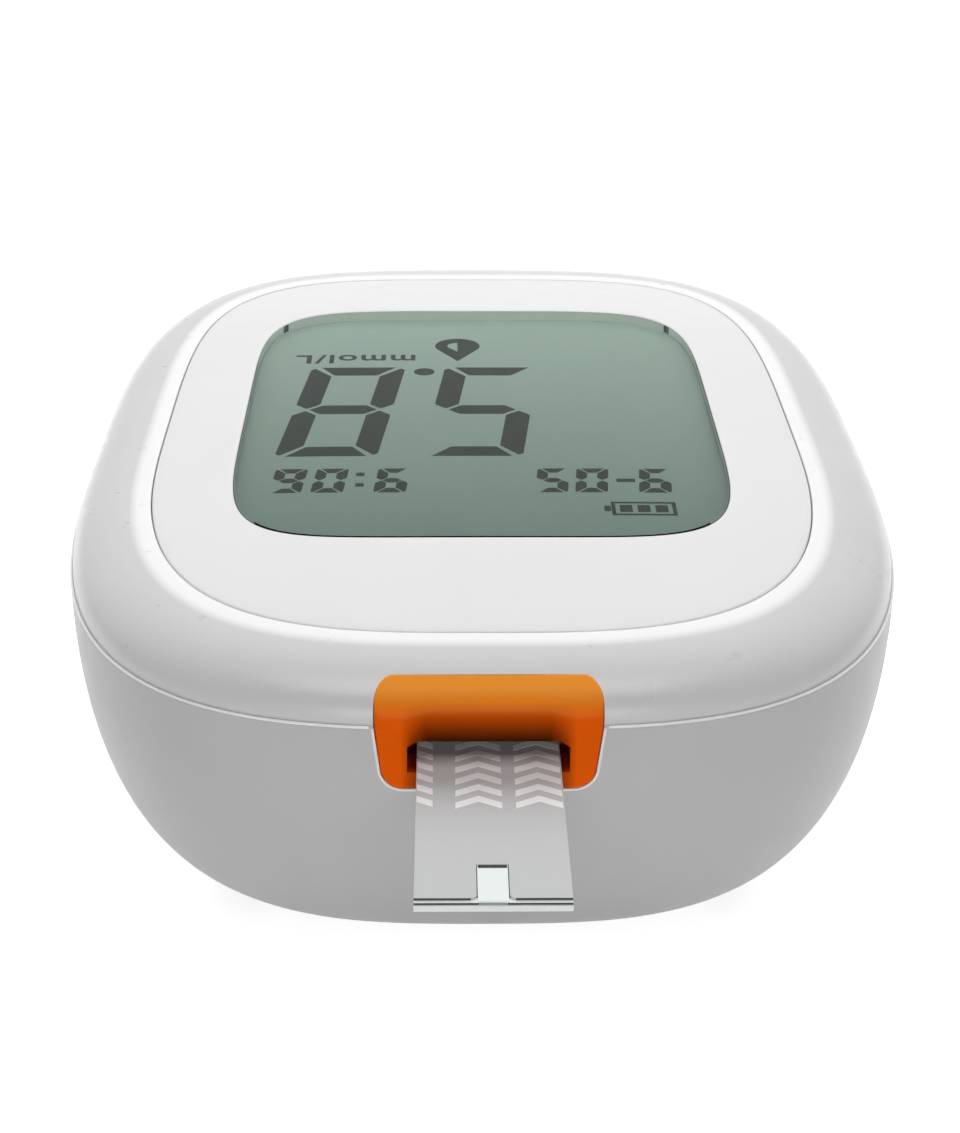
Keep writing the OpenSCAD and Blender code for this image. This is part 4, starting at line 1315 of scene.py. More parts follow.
@dataclass
class BatteryDoor:
    """The sliding cover of the battery bay: plate, rails, curved end and a row of grip ribs."""

    form: Form
    shell: LowerShell
    plate_half: float = 12.1
    rail: float = 1.3
    rail_low: float = 1.2
    plate_top: float = 2.0
    end_start: float = 36.6
    end_inner: float = 38.4
    groove_count: int = 5
    groove_pitch: float = 1.6
    groove_w: float = 12.0
    groove_y: float = 4.4
    groove_r: float = 0.42

    def grooves(self, material: Material) -> Obj:
        """Makes the row of round-ended grooves as one tool."""
        tree = Tree("grip_grooves")
        count = tree.take("Count", self.groove_count, "NodeSocketInt")
        pitch = tree.take("Pitch", self.groove_pitch * MM)
        width = tree.take("Width", (self.groove_w - 2 * self.groove_r) * MM)
        radius = tree.take("Radius", self.groove_r * MM)
        step = tree.node("ShaderNodeCombineXYZ", {"Y": pitch})
        row = tree.node("GeometryNodeMeshLine", {"Count": count, "Offset": step.outputs[0]})
        ball = tree.node("GeometryNodeMeshUVSphere", {"Segments": 24, "Rings": 12, "Radius": radius})
        half = tree.node("ShaderNodeMath", {0: width, 1: 0.5}, operation="MULTIPLY")
        away = tree.node("ShaderNodeMath", {0: width, 1: -0.5}, operation="MULTIPLY")
        ends = []
        for shift in (half, away):
            place = tree.node("ShaderNodeCombineXYZ", {"X": shift.outputs[0]})
            ends.append(tree.node("GeometryNodeTransform", {
                "Geometry": ball.outputs["Mesh"], "Translation": place.outputs[0],
            }).outputs["Geometry"])
        hull = tree.node("GeometryNodeConvexHull", {"Geometry": tree.join(ends)})
        copies = tree.node("GeometryNodeInstanceOnPoints", {
            "Points": row.outputs["Mesh"], "Instance": hull.outputs["Convex Hull"],
        })
        return tree.grow("grip_grooves", copies.outputs["Instances"], material)

    def build(self, material: Material) -> Obj:
        """Makes the door.

        Args:
            material: The door's finish, which the grooves carry too.
        """
        f = self.form
        low, near, end_half = f.door.lo[2], f.door.lo[1], f.door.hi[0]
        mould = Mould()
        mould.loft(self.shell.rings())
        door = mould.cast("door")
        keep = Mould()
        keep.slab(2 * end_half, self.end_start, f.half_l + 1, low - 1, f.door.hi[2])
        carve(door, keep, Cut.KEEP)
        over = Mould()
        over.slab(2 * end_half + 1, self.end_start - 1, self.end_inner, self.plate_top, f.door.hi[2] + 1)
        carve(door, over)
        parts = (
            (2 * self.plate_half, near, self.end_start + 0.2, low + 0.001, self.plate_top + 0.001),
            (2 * (self.plate_half + self.rail), near, self.end_start + 0.1, self.rail_low,
             self.plate_top + 0.002),
        )
        for part in parts:
            piece = Mould()
            piece.slab(*part)
            carve(door, piece, Cut.ADD)
        tool = self.grooves(material)
        tool.data.transform(Matrix.Translation(Vector((0, self.groove_y, low - 0.12)) * MM))
        step = door.modifiers.new("grip", "BOOLEAN")
        step.operation, step.solver, step.object = "DIFFERENCE", "MANIFOLD", tool
        settle(door)
        bpy.data.objects.remove(tool)
        smooth(door)
        door.name = "bay_cover"
        return door


@dataclass
class Fasteners:
    """Housing screws and rubber feet, each modelled once and repeated at its four places."""

    screws: Box
    feet: Box
    head_r: float = 1.95
    head_t: float = 1.4
    core_r: float = 0.85
    thread_r: float = 1.1
    pitch: float = 0.7
    foot_r: float = 2.8
    foot_edge: float = 0.3

    def places(self, box: Box, radius: float) -> list[Vec]:
        """The four places from the box round all four pieces, at the box's lower height."""
        dx, dy = box.hi[0] - radius, box.hi[1] - radius
        return [(x, y, box.lo[2]) for x in (-dx, dx) for y in (-dy, dy)]

    def screw(self, material: Material) -> Obj:
        """Makes the four screws with pan heads, cross recesses and cut threads."""
        r, t = self.head_r, self.head_t
        profile = [(0.02, 0.0), (r - 0.55, 0.0), (r - 0.2, 0.12), (r, 0.45), (r, t), (self.thread_r, t)]
        length = self.screws.size(2)
        turns = int((length - t - 1.2) / self.pitch)
        for k in range(turns):
            z = t + 0.6 + k * self.pitch
            profile += [(self.core_r, z), (self.core_r, z + 0.25 * self.pitch),
                        (self.thread_r, z + 0.5 * self.pitch),
                        (self.core_r, z + 0.75 * self.pitch)]
        profile += [(self.core_r, length - 0.5), (0.02, length)]
        mould = Mould()
        mould.turned(profile, (0, 0, 0), sides=40)
        screw = mould.cast("screw")
        for turned in (0, 90):
            cross = Mould()
            flat = [(-0.25, -1.15), (0.25, -1.15), (0.25, 1.15), (-0.25, 1.15)]
            deep = [(-0.12, -0.5), (0.12, -0.5), (0.12, 0.5), (-0.12, 0.5)]
            rings = [np.array([(x, y, z) for x, y in ring])
                     for ring, z in ((flat, -0.1), (flat, 0.25), (deep, 0.9))]
            if turned:
                rings = [np.column_stack([-ring[:, 1], ring[:, 0], ring[:, 2]]) for ring in rings]
            cross.loft(rings)
            carve(screw, cross)
        smooth(screw)
        return spread("screws", screw, self.places(self.screws, r), material)

    def foot(self, material: Material) -> Obj:
        """Makes the four feet with rounded edges and a shallow dish."""
        r, e, t = self.foot_r, self.foot_edge, self.feet.size(2)
        dish = [(x, 0.06 * max(1 - (x / (r - 0.9)) ** 2, 0.0)) for x in (0.02, 0.6, 1.2, 1.6, r - 0.9)]
        turn = [math.radians(a) for a in range(0, 91, 15)]
        edge = [(r - e + e * math.sin(a), e * (1 - math.cos(a))) for a in turn]
        mould = Mould()
        mould.turned(dish + edge + [(r, t), (0.02, t)], (0, 0, 0))
        foot = mould.cast("foot")
        smooth(foot)
        return spread("feet", foot, self.places(self.feet, r), material)


# ---------------------------------------------------------------- battery bay

@dataclass
class Cells:
    """The two AAA cells in their jackets, and the coil springs that press on their flat ends."""

    left: Box
    right: Box
    springs: Box
    nub_r: float = 1.9
    nub_l: float = 0.8
    wire: float = 0.5
    turns: float = 3.0
    base_r: float = 3.6
    tip_r: float = 2.2
    length: float = 4.9

    def can(self, box: Box, up: int) -> Obj:
        """One steel can, with its crimped ends and its nub towards +Y (up = 1) or -Y (up = -1)."""
        r, l, n = box.size(0) / 2 - 0.06, box.size(1), self.nub_l
        profile = [
            (0.02, 0.02), (r - 1.5, 0.02), (r - 1.3, 0.12), (r - 0.5, 0.12), (r - 0.2, 0.3), (r - 0.15, 0.6),
            (r - 0.15, l - n - 0.5), (r - 0.25, l - n - 0.2), (r - 0.6, l - n - 0.1), (r - 1.0, l - n - 0.25),
            (self.nub_r + 0.15, l - n - 0.2), (self.nub_r, l - n), (self.nub_r, l - 0.15),
            (self.nub_r - 0.15, l), (0.02, l),
        ]
        return self.along(profile, box, up, "can")

    def sleeve(self, box: Box, up: int, start: float, end: float, proud: float) -> Obj:
        """A thin sleeve round a cell, from one share of its body to another, shrunk over the can's edges."""
        r, body = box.size(0) / 2 - 0.05 + proud, box.size(1) - self.nub_l
        y0, y1 = body * start, body * end
        c = 0.4 if start == 0 else 0.01
        d = 0.4 if end == 1 else 0.01
        profile = [
            (r - 0.2 - c, y0), (r - c, y0 + 0.02), (r - 0.3 * c, y0 + 0.2 * c), (r, y0 + c),
            (r, y1 - d), (r - 0.3 * d, y1 - 0.2 * d), (r - d, y1 - 0.02), (r - 0.2 - d, y1),
        ]
        return self.along(profile, box, up, "sleeve", around=True)

    def along(self, profile: list[Point], box: Box, up: int, name: str,
              around: bool = False) -> Obj:
        """Turns a profile along a cell.

        Args:
            profile: Radius and distance from the cell's flat end.
            box: The cell's box.
            up: 1 where the nub points towards +Y, else -1.
            name: Name of the object.
            around: Whether the profile closes on itself as a ring.
        Returns:
            The object.
        """
        sides = 72
        t = np.arange(sides) * 2 * math.pi / sides
        start = box.lo[1] if up > 0 else box.hi[1]
        rings = [
            np.column_stack([
                box.middle(0) + r * np.cos(t), np.full(sides, start + up * h), box.middle(2) + r * np.sin(t),
            ])
            for r, h in profile
        ]
        mould = Mould()
        mould.loft(rings, around=around)
        obj = mould.cast(name)
        smooth(obj)
        return obj

    def coils(self, material: Material) -> Obj:
        """Winds both springs along their spirals."""
        tree = Tree("contact_springs")
        turns = tree.take("Turns", self.turns)
        base = tree.take("Base radius", self.base_r * MM)
        tip = tree.take("Tip radius", self.tip_r * MM)
        height = tree.take("Height", (self.length - self.wire) * MM)
        wire = tree.take("Wire radius", self.wire / 2 * MM)
        spiral = tree.node("GeometryNodeCurveSpiral", {
            "Resolution": 40, "Rotations": turns, "Start Radius": base, "End Radius": tip, "Height": height,
        })
        ring = tree.node("GeometryNodeCurvePrimitiveCircle", {"Resolution": 14, "Radius": wire})
        coil = tree.node("GeometryNodeCurveToMesh", {
            "Curve": spiral.outputs["Curve"], "Profile Curve": ring.outputs["Curve"], "Fill Caps": True,
        })
        soft = tree.node("GeometryNodeSetShadeSmooth", {"Geometry": coil.outputs["Mesh"]})
        quarter = math.pi / 2
        z = self.left.middle(2)
        ends = []
        for cell, y, turn in ((self.left, self.left.lo[1] - self.length, -quarter),
                              (self.right, self.right.hi[1] + self.length, quarter)):
            inwards = self.wire / 2 if turn < 0 else -self.wire / 2
            ends.append(tree.node("GeometryNodeTransform", {
                "Geometry": soft.outputs["Geometry"],
                "Translation": tuple(v * MM for v in (cell.middle(0), y + inwards, z)),
                "Rotation": (turn, 0.0, 0.0),
            }).outputs["Geometry"])
        return tree.grow("contact_springs", tree.join(ends), material)


# ---------------------------------------------------------------- face and display

@dataclass
class Face:
    """The crowned face sheet, the clear window in it and the gasket round that."""

    form: Form
    outline: Outline
    film: Box = measured("lcd_polarizer")
    play: float = 0.05
    gasket_sunk: float = 0.06

    @property
    def window(self) -> tuple[float, float]:
        """Half width and half length of the window's opening."""
        return self.form.lens.hi[0] + self.play, self.form.lens.size(1) / 2 + self.play

    def lay(self, ring: np.ndarray, lower: float = 0.0) -> np.ndarray:
        """Lays a ring on the crowned face, or below it."""
        laid = ring.copy()
        laid[:, 2] = self.form.crown_height(ring[:, 0], ring[:, 1]) - lower
        return laid

    def window_ring(self, inset: float, scale: float = 1.0) -> np.ndarray:
        """Ring of the window's outline, drawn in by an inset and scaled about the window's middle."""
        a, b = (h - inset for h in self.window)
        return self.outline.ring(a * scale, b * scale, 0, WINDOW_POWER, self.form.lens.middle(1))

    def sheet(self, steps: int = 14, edge: float = 0.16, lip: float = 0.12) -> Obj:
        """Makes the face sheet.

        Args:
            steps: Rings across the face.
            edge: Radius of its outer edge.
            lip: Radius of the edge at the window.
        """
        f, o = self.form, self.outline
        half_w, half_l = f.panel_half
        power = o.face_power()
        rings = [o.ring(half_w, half_l, f.face_seat, power)]
        for a in range(0, 91, 18):
            turn = math.radians(a)
            back, down = edge * (1 - math.cos(turn)), edge * (1 - math.sin(turn))
            rings.append(self.lay(o.ring(half_w - back, half_l - back, 0, power), down))
        start, end = o.ring(half_w - edge, half_l - edge, 0, power), self.window_ring(-lip)
        for j in range(1, steps + 1):
            rings.append(self.lay(start + (end - start) * j / steps))
        for a in (30, 60, 90):
            turn = math.radians(a)
            rings.append(self.lay(self.window_ring(-lip * (1 - math.sin(turn))), lip * (1 - math.cos(turn))))
        low = self.window_ring(0)
        low[:, 2] = f.face_seat
        rings.append(low)
        mould = Mould()
        mould.loft(rings, around=True)
        sheet = mould.cast("face_sheet")
        smooth(sheet)
        return sheet

    def lens(self, steps: int = 14, edge: float = 0.08, inset: float = 0.06) -> Obj:
        """Makes the clear window as a plug with a flat underside and a crowned top.

        Args:
            steps: Rings across its top.
            edge: Radius of its top edge.
            inset: Gap to the face sheet.
        """
        low = self.window_ring(inset)
        low[:, 2] = self.form.face_seat
        rings = [low, self.lay(self.window_ring(inset), edge)]
        for j in range(steps + 1):
            rings.append(self.lay(self.window_ring(inset + edge, 1 - 0.985 * j / steps)))
        mould = Mould()
        mould.loft(rings)
        lens = mould.cast("display_window")
        smooth(lens)
        return lens

    def gasket(self, outer: float = 0.005, inner: float = 0.05) -> Obj:
        """Makes the thin gasket round the window, just below its top edge; its material is dark at the near end and
        painted pale towards the far end.
        """
        top, foot = self.gasket_sunk, self.film.hi[2] + 0.005
        rings = []
        for inset, lower in ((outer, None), (outer, top), (inner, top), (inner, None)):
            ring = self.window_ring(inset)
            if lower is None:
                ring[:, 2] = foot
            else:
                ring = self.lay(ring, lower)
            rings.append(ring)
        mould = Mould()
        mould.loft(rings, around=True)
        gasket = mould.cast("window_gasket")
        smooth(gasket)
        return gasket


class Bar(Enum):
    """The seven bars of a numeral, named as its reader sees them."""

    TOP = "a"
    UPPER_RIGHT = "b"
    LOWER_RIGHT = "c"
    BOTTOM = "d"
    LOWER_LEFT = "e"
    UPPER_LEFT = "f"
    MIDDLE = "g"


NUMERALS = {
    "0": "abcdef", "5": "afgcd", "6": "afgedc", "8": "abcdefg", "9": "abcdfg",
}


@dataclass(frozen=True)
class Numeral:
    """Measures of one seven-bar numeral, in its reader's own upright plane."""

    width: float
    height: float
    thick: float
    gap: float
    lean: float

    def bars(self, digit: str) -> list[list[Point]]:
        """Outlines of the bars that are dark in a digit, from its lower left corner."""
        w, h, t, g = self.width, self.height, self.thick, self.gap
        mid, half = h / 2, t / 2
        c = t * 0.3
        shapes = {
            Bar.TOP: [(c + g, h), (w - c - g, h), (w - t - g, h - t), (t + g, h - t)],
            Bar.BOTTOM: [(c + g, 0), (w - c - g, 0), (w - t - g, t), (t + g, t)],
            Bar.MIDDLE: [
                (half + g, mid), (t + g, mid + half), (w - t - g, mid + half),
                (w - half - g, mid), (w - t - g, mid - half), (t + g, mid - half),
            ],
        }
        side = [(0, c), (0, mid - half - g), (half, mid - g), (t, mid - half - g), (t, t + g), (c * 0.6, g)]
        for bar, flip_x, flip_y in (
            (Bar.LOWER_LEFT, False, False), (Bar.UPPER_LEFT, False, True),
            (Bar.LOWER_RIGHT, True, False), (Bar.UPPER_RIGHT, True, True),
        ):
            shapes[bar] = [(w - x if flip_x else x, h - y if flip_y else y) for x, y in side]
        dark = NUMERALS[digit]
        return [
            [(x + self.lean * y, y) for x, y in points]
            for bar, points in shapes.items() if bar.value in dark
        ]


@dataclass
class Display:
    """The display's front film and the dark figures on it.

    The figures face a reader at the far end, so their upright plane is turned half round.
    """

    film: Box = measured("lcd_polarizer")
    corner: float = 0.4
    fit: float = 0.987
    drop_back: float = 3.95

    def front_film(self) -> Obj:
        """The front film, on which the display shows, with slightly rounded corners."""
        box, mould = self.film, Mould()
        flat = rounded_box_outline(box.size(0) / 2, box.size(1) / 2, self.corner, 4)
        mould.prism([(x + box.middle(0), y + box.middle(1)) for x, y in flat], box.lo[2], box.hi[2])
        return mould.cast("display_film")

    def figures(self) -> Obj:
        """All dark figures as thin solids on the front film."""
        mould = Mould()
        high = self.film.hi[2] + 0.012
        for outline in self.layout():
            placed = [(-self.fit * u, -self.fit * v - self.drop_back) for u, v in outline]
            mould.prism(placed, high - 0.01, high)
        figures = mould.cast("display_figures")
        return merge("display_figures", [figures, self.unit(high)])

    def unit(self, high: float) -> Obj:
        """The measuring unit, set in plain letters for the same reader."""
        letters = bpy.data.curves.new("unit", "FONT")
        letters.body, letters.size, letters.space_character = "mmol/L", 3.1 * MM, 1.12
        letters.extrude, letters.offset = 0.005 * MM, 0.06 * MM
        shape = linked("unit", letters)
        mesh = bpy.data.meshes.new_from_object(shape)
        bpy.data.objects.remove(shape)
        obj = linked("unit", mesh)
        place = Vector((-self.fit * 5.3, self.fit * 21.3 - self.drop_back, high - 0.005)) * MM
        turn = Matrix.Rotation(math.pi, 4, "Z") @ Matrix.Diagonal((1.0, 0.95, 1.0, 1.0))
        mesh.transform(Matrix.Translation(place) @ turn)
        return obj

    def layout(self) -> list[list[Point]]:
        """Outlines of every figure, with U to the reader's right and V up, from the window's origin."""
        shapes: list[list[Point]] = []
        big = Numeral(8.15, 20.5, 2.0, 0.26, 0.095)
        small = Numeral(2.5, 4.7, 0.85, 0.08, 0.07)
        shapes += self.number("5", big, -5.35, -18.05)
        shapes += self.number("8", big, 6.25, -18.05)
        shapes.append([(4.62 + x, -16.95 + y) for x, y in arc((0, 0), 0.9, 0, 345, 23)])
        shapes += self.number("9", small, -14.9, 5.05)
        shapes += self.dash(-11.2, 7.4, 1.45, 0.65)
        shapes += self.number("05", small, -10.0, 5.05, 3.05)
        shapes += self.number("9", small, 5.5, 5.05)
        for v in (6.2, 8.3):
            shapes += self.dash(9.4, v, 0.65, 0.65)
        shapes += self.number("06", small, 10.3, 5.05, 3.2)
        shapes += self.drop(1.7, -22.8)
        shapes += self.battery_sign(-12.2, 12.8)
        return shapes

    def number(self, digits: str, kind: Numeral, u: float, v: float,
               pitch: float = 0.0) -> list[list[Point]]:
        """Outlines of a row of digits from a lower left corner."""
        return [
            [(u + x + i * pitch, v + y) for x, y in bar]
            for i, digit in enumerate(digits) for bar in kind.bars(digit)
        ]

    def dash(self, u: float, v: float, width: float, height: float) -> list[list[Point]]:
        """A short bar centred on a point."""
        w, h = width / 2, height / 2
        return [[(u - w, v - h), (u + w, v - h), (u + w, v + h), (u - w, v + h)]]

    def drop(self, u: float, v: float, size: float = 2.0) -> list[list[Point]]:
        """A drop, as a left half and a right half that leaves room for a pale spark."""
        tip = (u, v + 3.1)
        right = [(u + size * math.cos(a), v - 0.9 + size * math.sin(a)) for a in np.radians(np.arange(-90, 31, 12))]
        left = [(2 * u - x, y) for x, y in right]
        inner = [(u + 0.9 * math.cos(a), v - 0.9 + 0.9 * math.sin(a)) for a in np.radians(np.arange(-90, 31, 15))]
        return [[tip] + left[::-1] + [(u, v - 2.9)], [tip, (u, v + 0.6)] + inner[::-1] + right]

    def battery_sign(self, u: float, v: float) -> list[list[Point]]:
        """A small battery sign made of plain bars."""
        w, h, t = 4.6, 2.2, 0.3
        frame_bars = [
            self.dash(u, v + h / 2, w, t), self.dash(u, v - h / 2, w, t),
            self.dash(u - w / 2, v, t, h + t), self.dash(u + w / 2, v, t, h + t),
            self.dash(u + w / 2 + 0.45, v, 0.5, 1.0),
        ]
        cells = [self.dash(u + k * 1.35, v, 0.95, h - 0.9) for k in (-1, 0, 1)]
        return [shape for group in frame_bars + cells for shape in group]


# ---------------------------------------------------------------- strip port

@dataclass
class StripPort:
    """The orange surround: a skin that follows the housing, with a scooped hood over the strip's mouth."""

    form: Form
    outline: PortOutline
    strip: Box = measured("strip_base")
    cover: Box = measured("strip_cover")
    proud: float = 0.12
    edge: float = 0.3
    scoop: float = 0.9
    scoop_high: float = 2.0

    @property
    def mouth_half(self) -> float:
        """Half width of the mouth."""
        return self.strip.hi[0] + 0.6

    @property
    def floor(self) -> float:
        """Height of the mouth's floor."""
        return self.strip.lo[2] - 0.2

    @property
    def hood_low(self) -> float:
        """Height of the hood's lower edge."""
        return self.cover.hi[2] + 1.0

    def levels(self) -> list[tuple[float, float, float]]:
        """Half width, half length and height of the housing's rings up the surround."""
        f = self.form
        rows = []
        mouth = [self.floor, self.hood_low]
        low = self.outline.bottom
        heights = [low + self.edge * (1 - math.cos(math.radians(a))) for a in range(0, 91, 18)]
        heights += list(np.linspace(heights[-1], mouth[0], 6)[1:])
        heights += list(np.linspace(mouth[0], mouth[1], 8)[1:])
        heights += list(np.linspace(mouth[1], f.parting - f.edge_break, 9)[1:])
        for z in heights:
            inset = f.bowl_inset_at(z)
            rows.append((f.half_w - inset, f.half_l - inset, z))
        top_angle = self.top_angle()
        for angle in np.linspace(0, top_angle, 27):
            share, z = f.shoulder(angle)
            half_w, half_l = f.shoulder_halves(share)
            rows.append((half_w, half_l, z))
        return rows

    def top_angle(self) -> float:
        """Angle on the shoulder at which its middle reaches the surround's top edge."""
        f = self.form
        low, high = 0.0, 90.0
        for _ in range(40):
            angle = (low + high) / 2
            share, _ = f.shoulder(angle)
            if -f.shoulder_halves(share)[1] < self.outline.back:
                low = angle
            else:
                high = angle
        return low

    def half_width(self, y: float, z: float) -> float:
        """Half width of the surround at a place on its middle line."""
        p = self.outline
        if z < p.bottom + p.corner:
            rise = max(p.bottom + p.corner - z, 0.0)
            return p.half_w - p.taper - p.corner + math.sqrt(max(p.corner ** 2 - rise ** 2, 0.0))
        if z < p.parting:
            return p.half_w - p.taper * (p.parting - z) / (p.parting - p.bottom - p.corner)
        run = y - (p.back - p.top_corner_y)
        if run <= 0:
            return p.half_w
        share = min(run / p.top_corner_y, 1.0)
        return p.half_w - p.top_corner_x * (1 - math.sqrt(1 - share ** 2))

    def columns(self) -> np.ndarray:
        """Shares across the surround, close together at its edges and at the mouth's sides."""
        w = self.outline.half_w
        m = self.mouth_half / w
        e = self.edge / w
        edge = [1 - e * (1 - math.cos(math.radians(a))) for a in range(0, 91, 18)]
        cheek = list(np.linspace(edge[-1], m, 6)[1:])
        middle = list(np.linspace(m, 0, 26)[1:])
        right = edge + cheek + middle
        return np.array([-s for s in right] + [s for s in reversed(right[:-1])])

    def skin(self) -> tuple[np.ndarray, list[tuple[float, float, float]], np.ndarray]:
        """Grid of points on the outside, before the scoop."""
        rows = self.levels()
        cols = self.columns()
        grid = np.zeros((len(rows), len(cols), 3))
        for j, (a, b, z) in enumerate(rows):
            y_mid = -b
            half = self.half_width(y_mid, z)
            x = cols * half
            # the mouth's sides stay upright where the outline below them narrows
            share = self.mouth_half / self.outline.half_w
            side = self.mouth_half if z < self.form.parting else share * half
            inner = np.abs(cols) <= share + 1e-9
            x[inner] = cols[inner] / share * side
            outer = ~inner
            reach = (np.abs(cols[outer]) - share) / (1 - share)
            x[outer] = np.sign(cols[outer]) * (side + (half - side) * reach)
            grid[j, :, 0] = x
            grid[j, :, 1] = -b * (1 - np.abs(x / a) ** OUTLINE_POWER) ** (1 / OUTLINE_POWER)
            grid[j, :, 2] = z
        return grid, rows, cols

    def build(self) -> Obj:
        """Makes the surround as one closed solid with the mouth through it."""
        grid, rows, cols = self.skin()
        normal = self.normals(grid)
        drop = self.edge_drop(grid)
        front = grid + normal * (self.proud - drop)[:, :, None]
        front[:, :, 1] += self.scoop_depth(grid)
        back = self.rear(front)
        n_rows, n_cols = grid.shape[:2]
        share = self.mouth_half / self.outline.half_w + 1e-9
        inside_x = (np.abs(cols[:-1]) <= share) & (np.abs(cols[1:]) <= share)
        heights = np.array([r[2] for r in rows])
        inside_z = (heights[:-1] >= self.floor - 1e-6) & (heights[1:] <= self.hood_low + 1e-6)
        solid = ~(inside_z[:, None] & inside_x[None, :])
        mould = Mould()
        points = np.concatenate([front.reshape(-1, 3), back.reshape(-1, 3)])
        mould.add(points, self.closed_faces(solid, n_rows, n_cols))
        piece = mould.cast("port_surround")
        smooth(piece, 38)
        return piece

    def highlight_bead_path(self, grow: float = 0.1, sunk: float = 0.04) -> list[Vec]:
        """Path of the pale bead whose white is a painted highlight along the shell's cut-out below the joint line.

        Args:
            grow: Distance from the surround's outline.
            sunk: How deep the bead's middle lies in the shell.
        """
        f = self.form
        points = [(x, z) for x, z in self.outline.front(grow) if x >= 0 and z < f.parting - 0.3]
        (x0, z0), steps = points[-1], 10
        x1, z1 = self.outline.half_w + grow, f.parting - 0.15
        points += [(x0 + (x1 - x0) * k / steps, z0 + (z1 - z0) * k / steps) for k in range(1, steps + 1)]
        half = []
        for x, z in points:
            inset = f.bowl_inset_at(z)
            a, b = f.half_w - inset - sunk, f.half_l - inset - sunk
            half.append((x, -b * (1 - abs(x / a) ** OUTLINE_POWER) ** (1 / OUTLINE_POWER), z))
        return [(-x, y, z) for x, y, z in reversed(half)] + half

    def lining(self, thick: float = 0.5, reach: float = 1.45, web: float = 0.3) -> Obj:
        """Makes the tube that carries the mouth on through the wall, with a slot for the strip in its end.

        Args:
            thick: Thickness of the tube's walls.
            reach: Length of the tube.
            web: Thickness of its slotted end.
        """
        y0 = self.outline.back - 0.3
        slot_half, slot_top = self.cover.hi[0] + 0.2, self.cover.hi[2] + 0.2
        w, low, top = self.mouth_half, self.floor, self.hood_low
        rings = []
        for grow, y in ((thick, y0), (thick, y0 + reach), (0.0, y0 + reach), (0.0, y0)):
            side, under, over = w + grow, low - grow, top + grow
            rings.append(np.array([(-side, y, under), (side, y, under), (side, y, over), (-side, y, over)]))
        mould = Mould()
        mould.loft(rings, around=True)
        y1 = y0 + reach
        mould.box((-w - 0.1, y1 - web, slot_top), (w + 0.1, y1, top + 0.1))
        for x0, x1 in ((-w - 0.1, -slot_half), (slot_half, w + 0.1)):
            mould.box((x0, y1 - web, low - 0.1), (x1, y1, slot_top + 0.01))
        return mould.cast("mouth_lining")

    def closed_faces(self, solid: np.ndarray, n_rows: int, n_cols: int) -> list[tuple[int, ...]]:
        """Faces of the front grid, the rear grid and the walls between them.

        Args:
            solid: Which cells of the grid are filled.
            n_rows: Rows of points.
            n_cols: Columns of points.
        Returns:
            The faces as point numbers.
        """
        shift = n_rows * n_cols
        faces: list[tuple[int, ...]] = []
        open_cells = np.zeros((n_rows + 1, n_cols + 1), bool)
        open_cells[1:-1, 1:-1] = solid

        def spot(j: int, i: int) -> int:
            """Number of a point in the front grid."""
            return j * n_cols + i

        for j in range(n_rows - 1):
            for i in range(n_cols - 1):
                if not solid[j, i]:
                    continue
                quad = (spot(j, i), spot(j, i + 1), spot(j + 1, i + 1), spot(j + 1, i))
                faces.append(quad)
                faces.append(tuple(p + shift for p in reversed(quad)))
                sides = (
                    (open_cells[j, i + 1], quad[0], quad[1]),
                    (open_cells[j + 1, i + 2], quad[1], quad[2]),
                    (open_cells[j + 2, i + 1], quad[2], quad[3]),
                    (open_cells[j + 1, i], quad[3], quad[0]),
                )
                faces += [(b, a, a + shift, b + shift) for filled, a, b in sides if not filled]
        return faces

    def normals(self, grid: np.ndarray) -> np.ndarray:
        """Outward normals of the grid."""
        across = np.gradient(grid, axis=1)
        up = np.gradient(grid, axis=0)
        normal = np.cross(across, up)
        return normal / np.linalg.norm(normal, axis=2, keepdims=True)

    def edge_drop(self, grid: np.ndarray) -> np.ndarray:
        """How far the skin falls away near its rim, for a rounded edge."""
        r = self.edge
        half = np.abs(grid[:, :1, 0])
        from_side = half - np.abs(grid[:, :, 0])
        middle = grid[:, grid.shape[1] // 2]
        run = np.concatenate([[0], np.cumsum(np.linalg.norm(np.diff(middle, axis=0), axis=1))])
        from_end = np.minimum(run, run[-1] - run)[:, None]
        reach = np.hypot(np.maximum(r - from_side, 0), np.maximum(r - from_end, 0))
        return r - np.sqrt(r ** 2 - np.minimum(reach, r) ** 2)

    def scoop_depth(self, grid: np.ndarray) -> np.ndarray:
        """Depth of the hood's scoop, which is widest at its lower edge."""
        x, z = np.abs(grid[:, :, 0]), grid[:, :, 2]
        top = self.form.parting + self.scoop_high
        rise = np.clip((top - z) / (top - self.hood_low), 0, 1)
        fall = rise * rise * (3 - 2 * rise)
        soft = 0.9 + 1.6 * (1 - rise)
        across = np.clip((self.mouth_half + 0.15 - x) / soft, 0, 1)
        across = across ** 2 * (3 - 2 * across)
        depth = self.scoop * fall * across
        return np.where(z < self.hood_low - 1e-6, 0.0, depth)

    def rear(self, front: np.ndarray) -> np.ndarray:
        """The grid's flat rear face, inside the housing."""
        p = self.outline
        rear = front.copy()
        top = front[-1, :, 2].max()
        share = (front[:, :, 2] - p.bottom) / (top - p.bottom)
        rear[:, :, 1] = p.back
        rear[:, :, 2] = p.bottom + share * (top - 1.2 - p.bottom)
        return rear


# ---------------------------------------------------------------- test strip

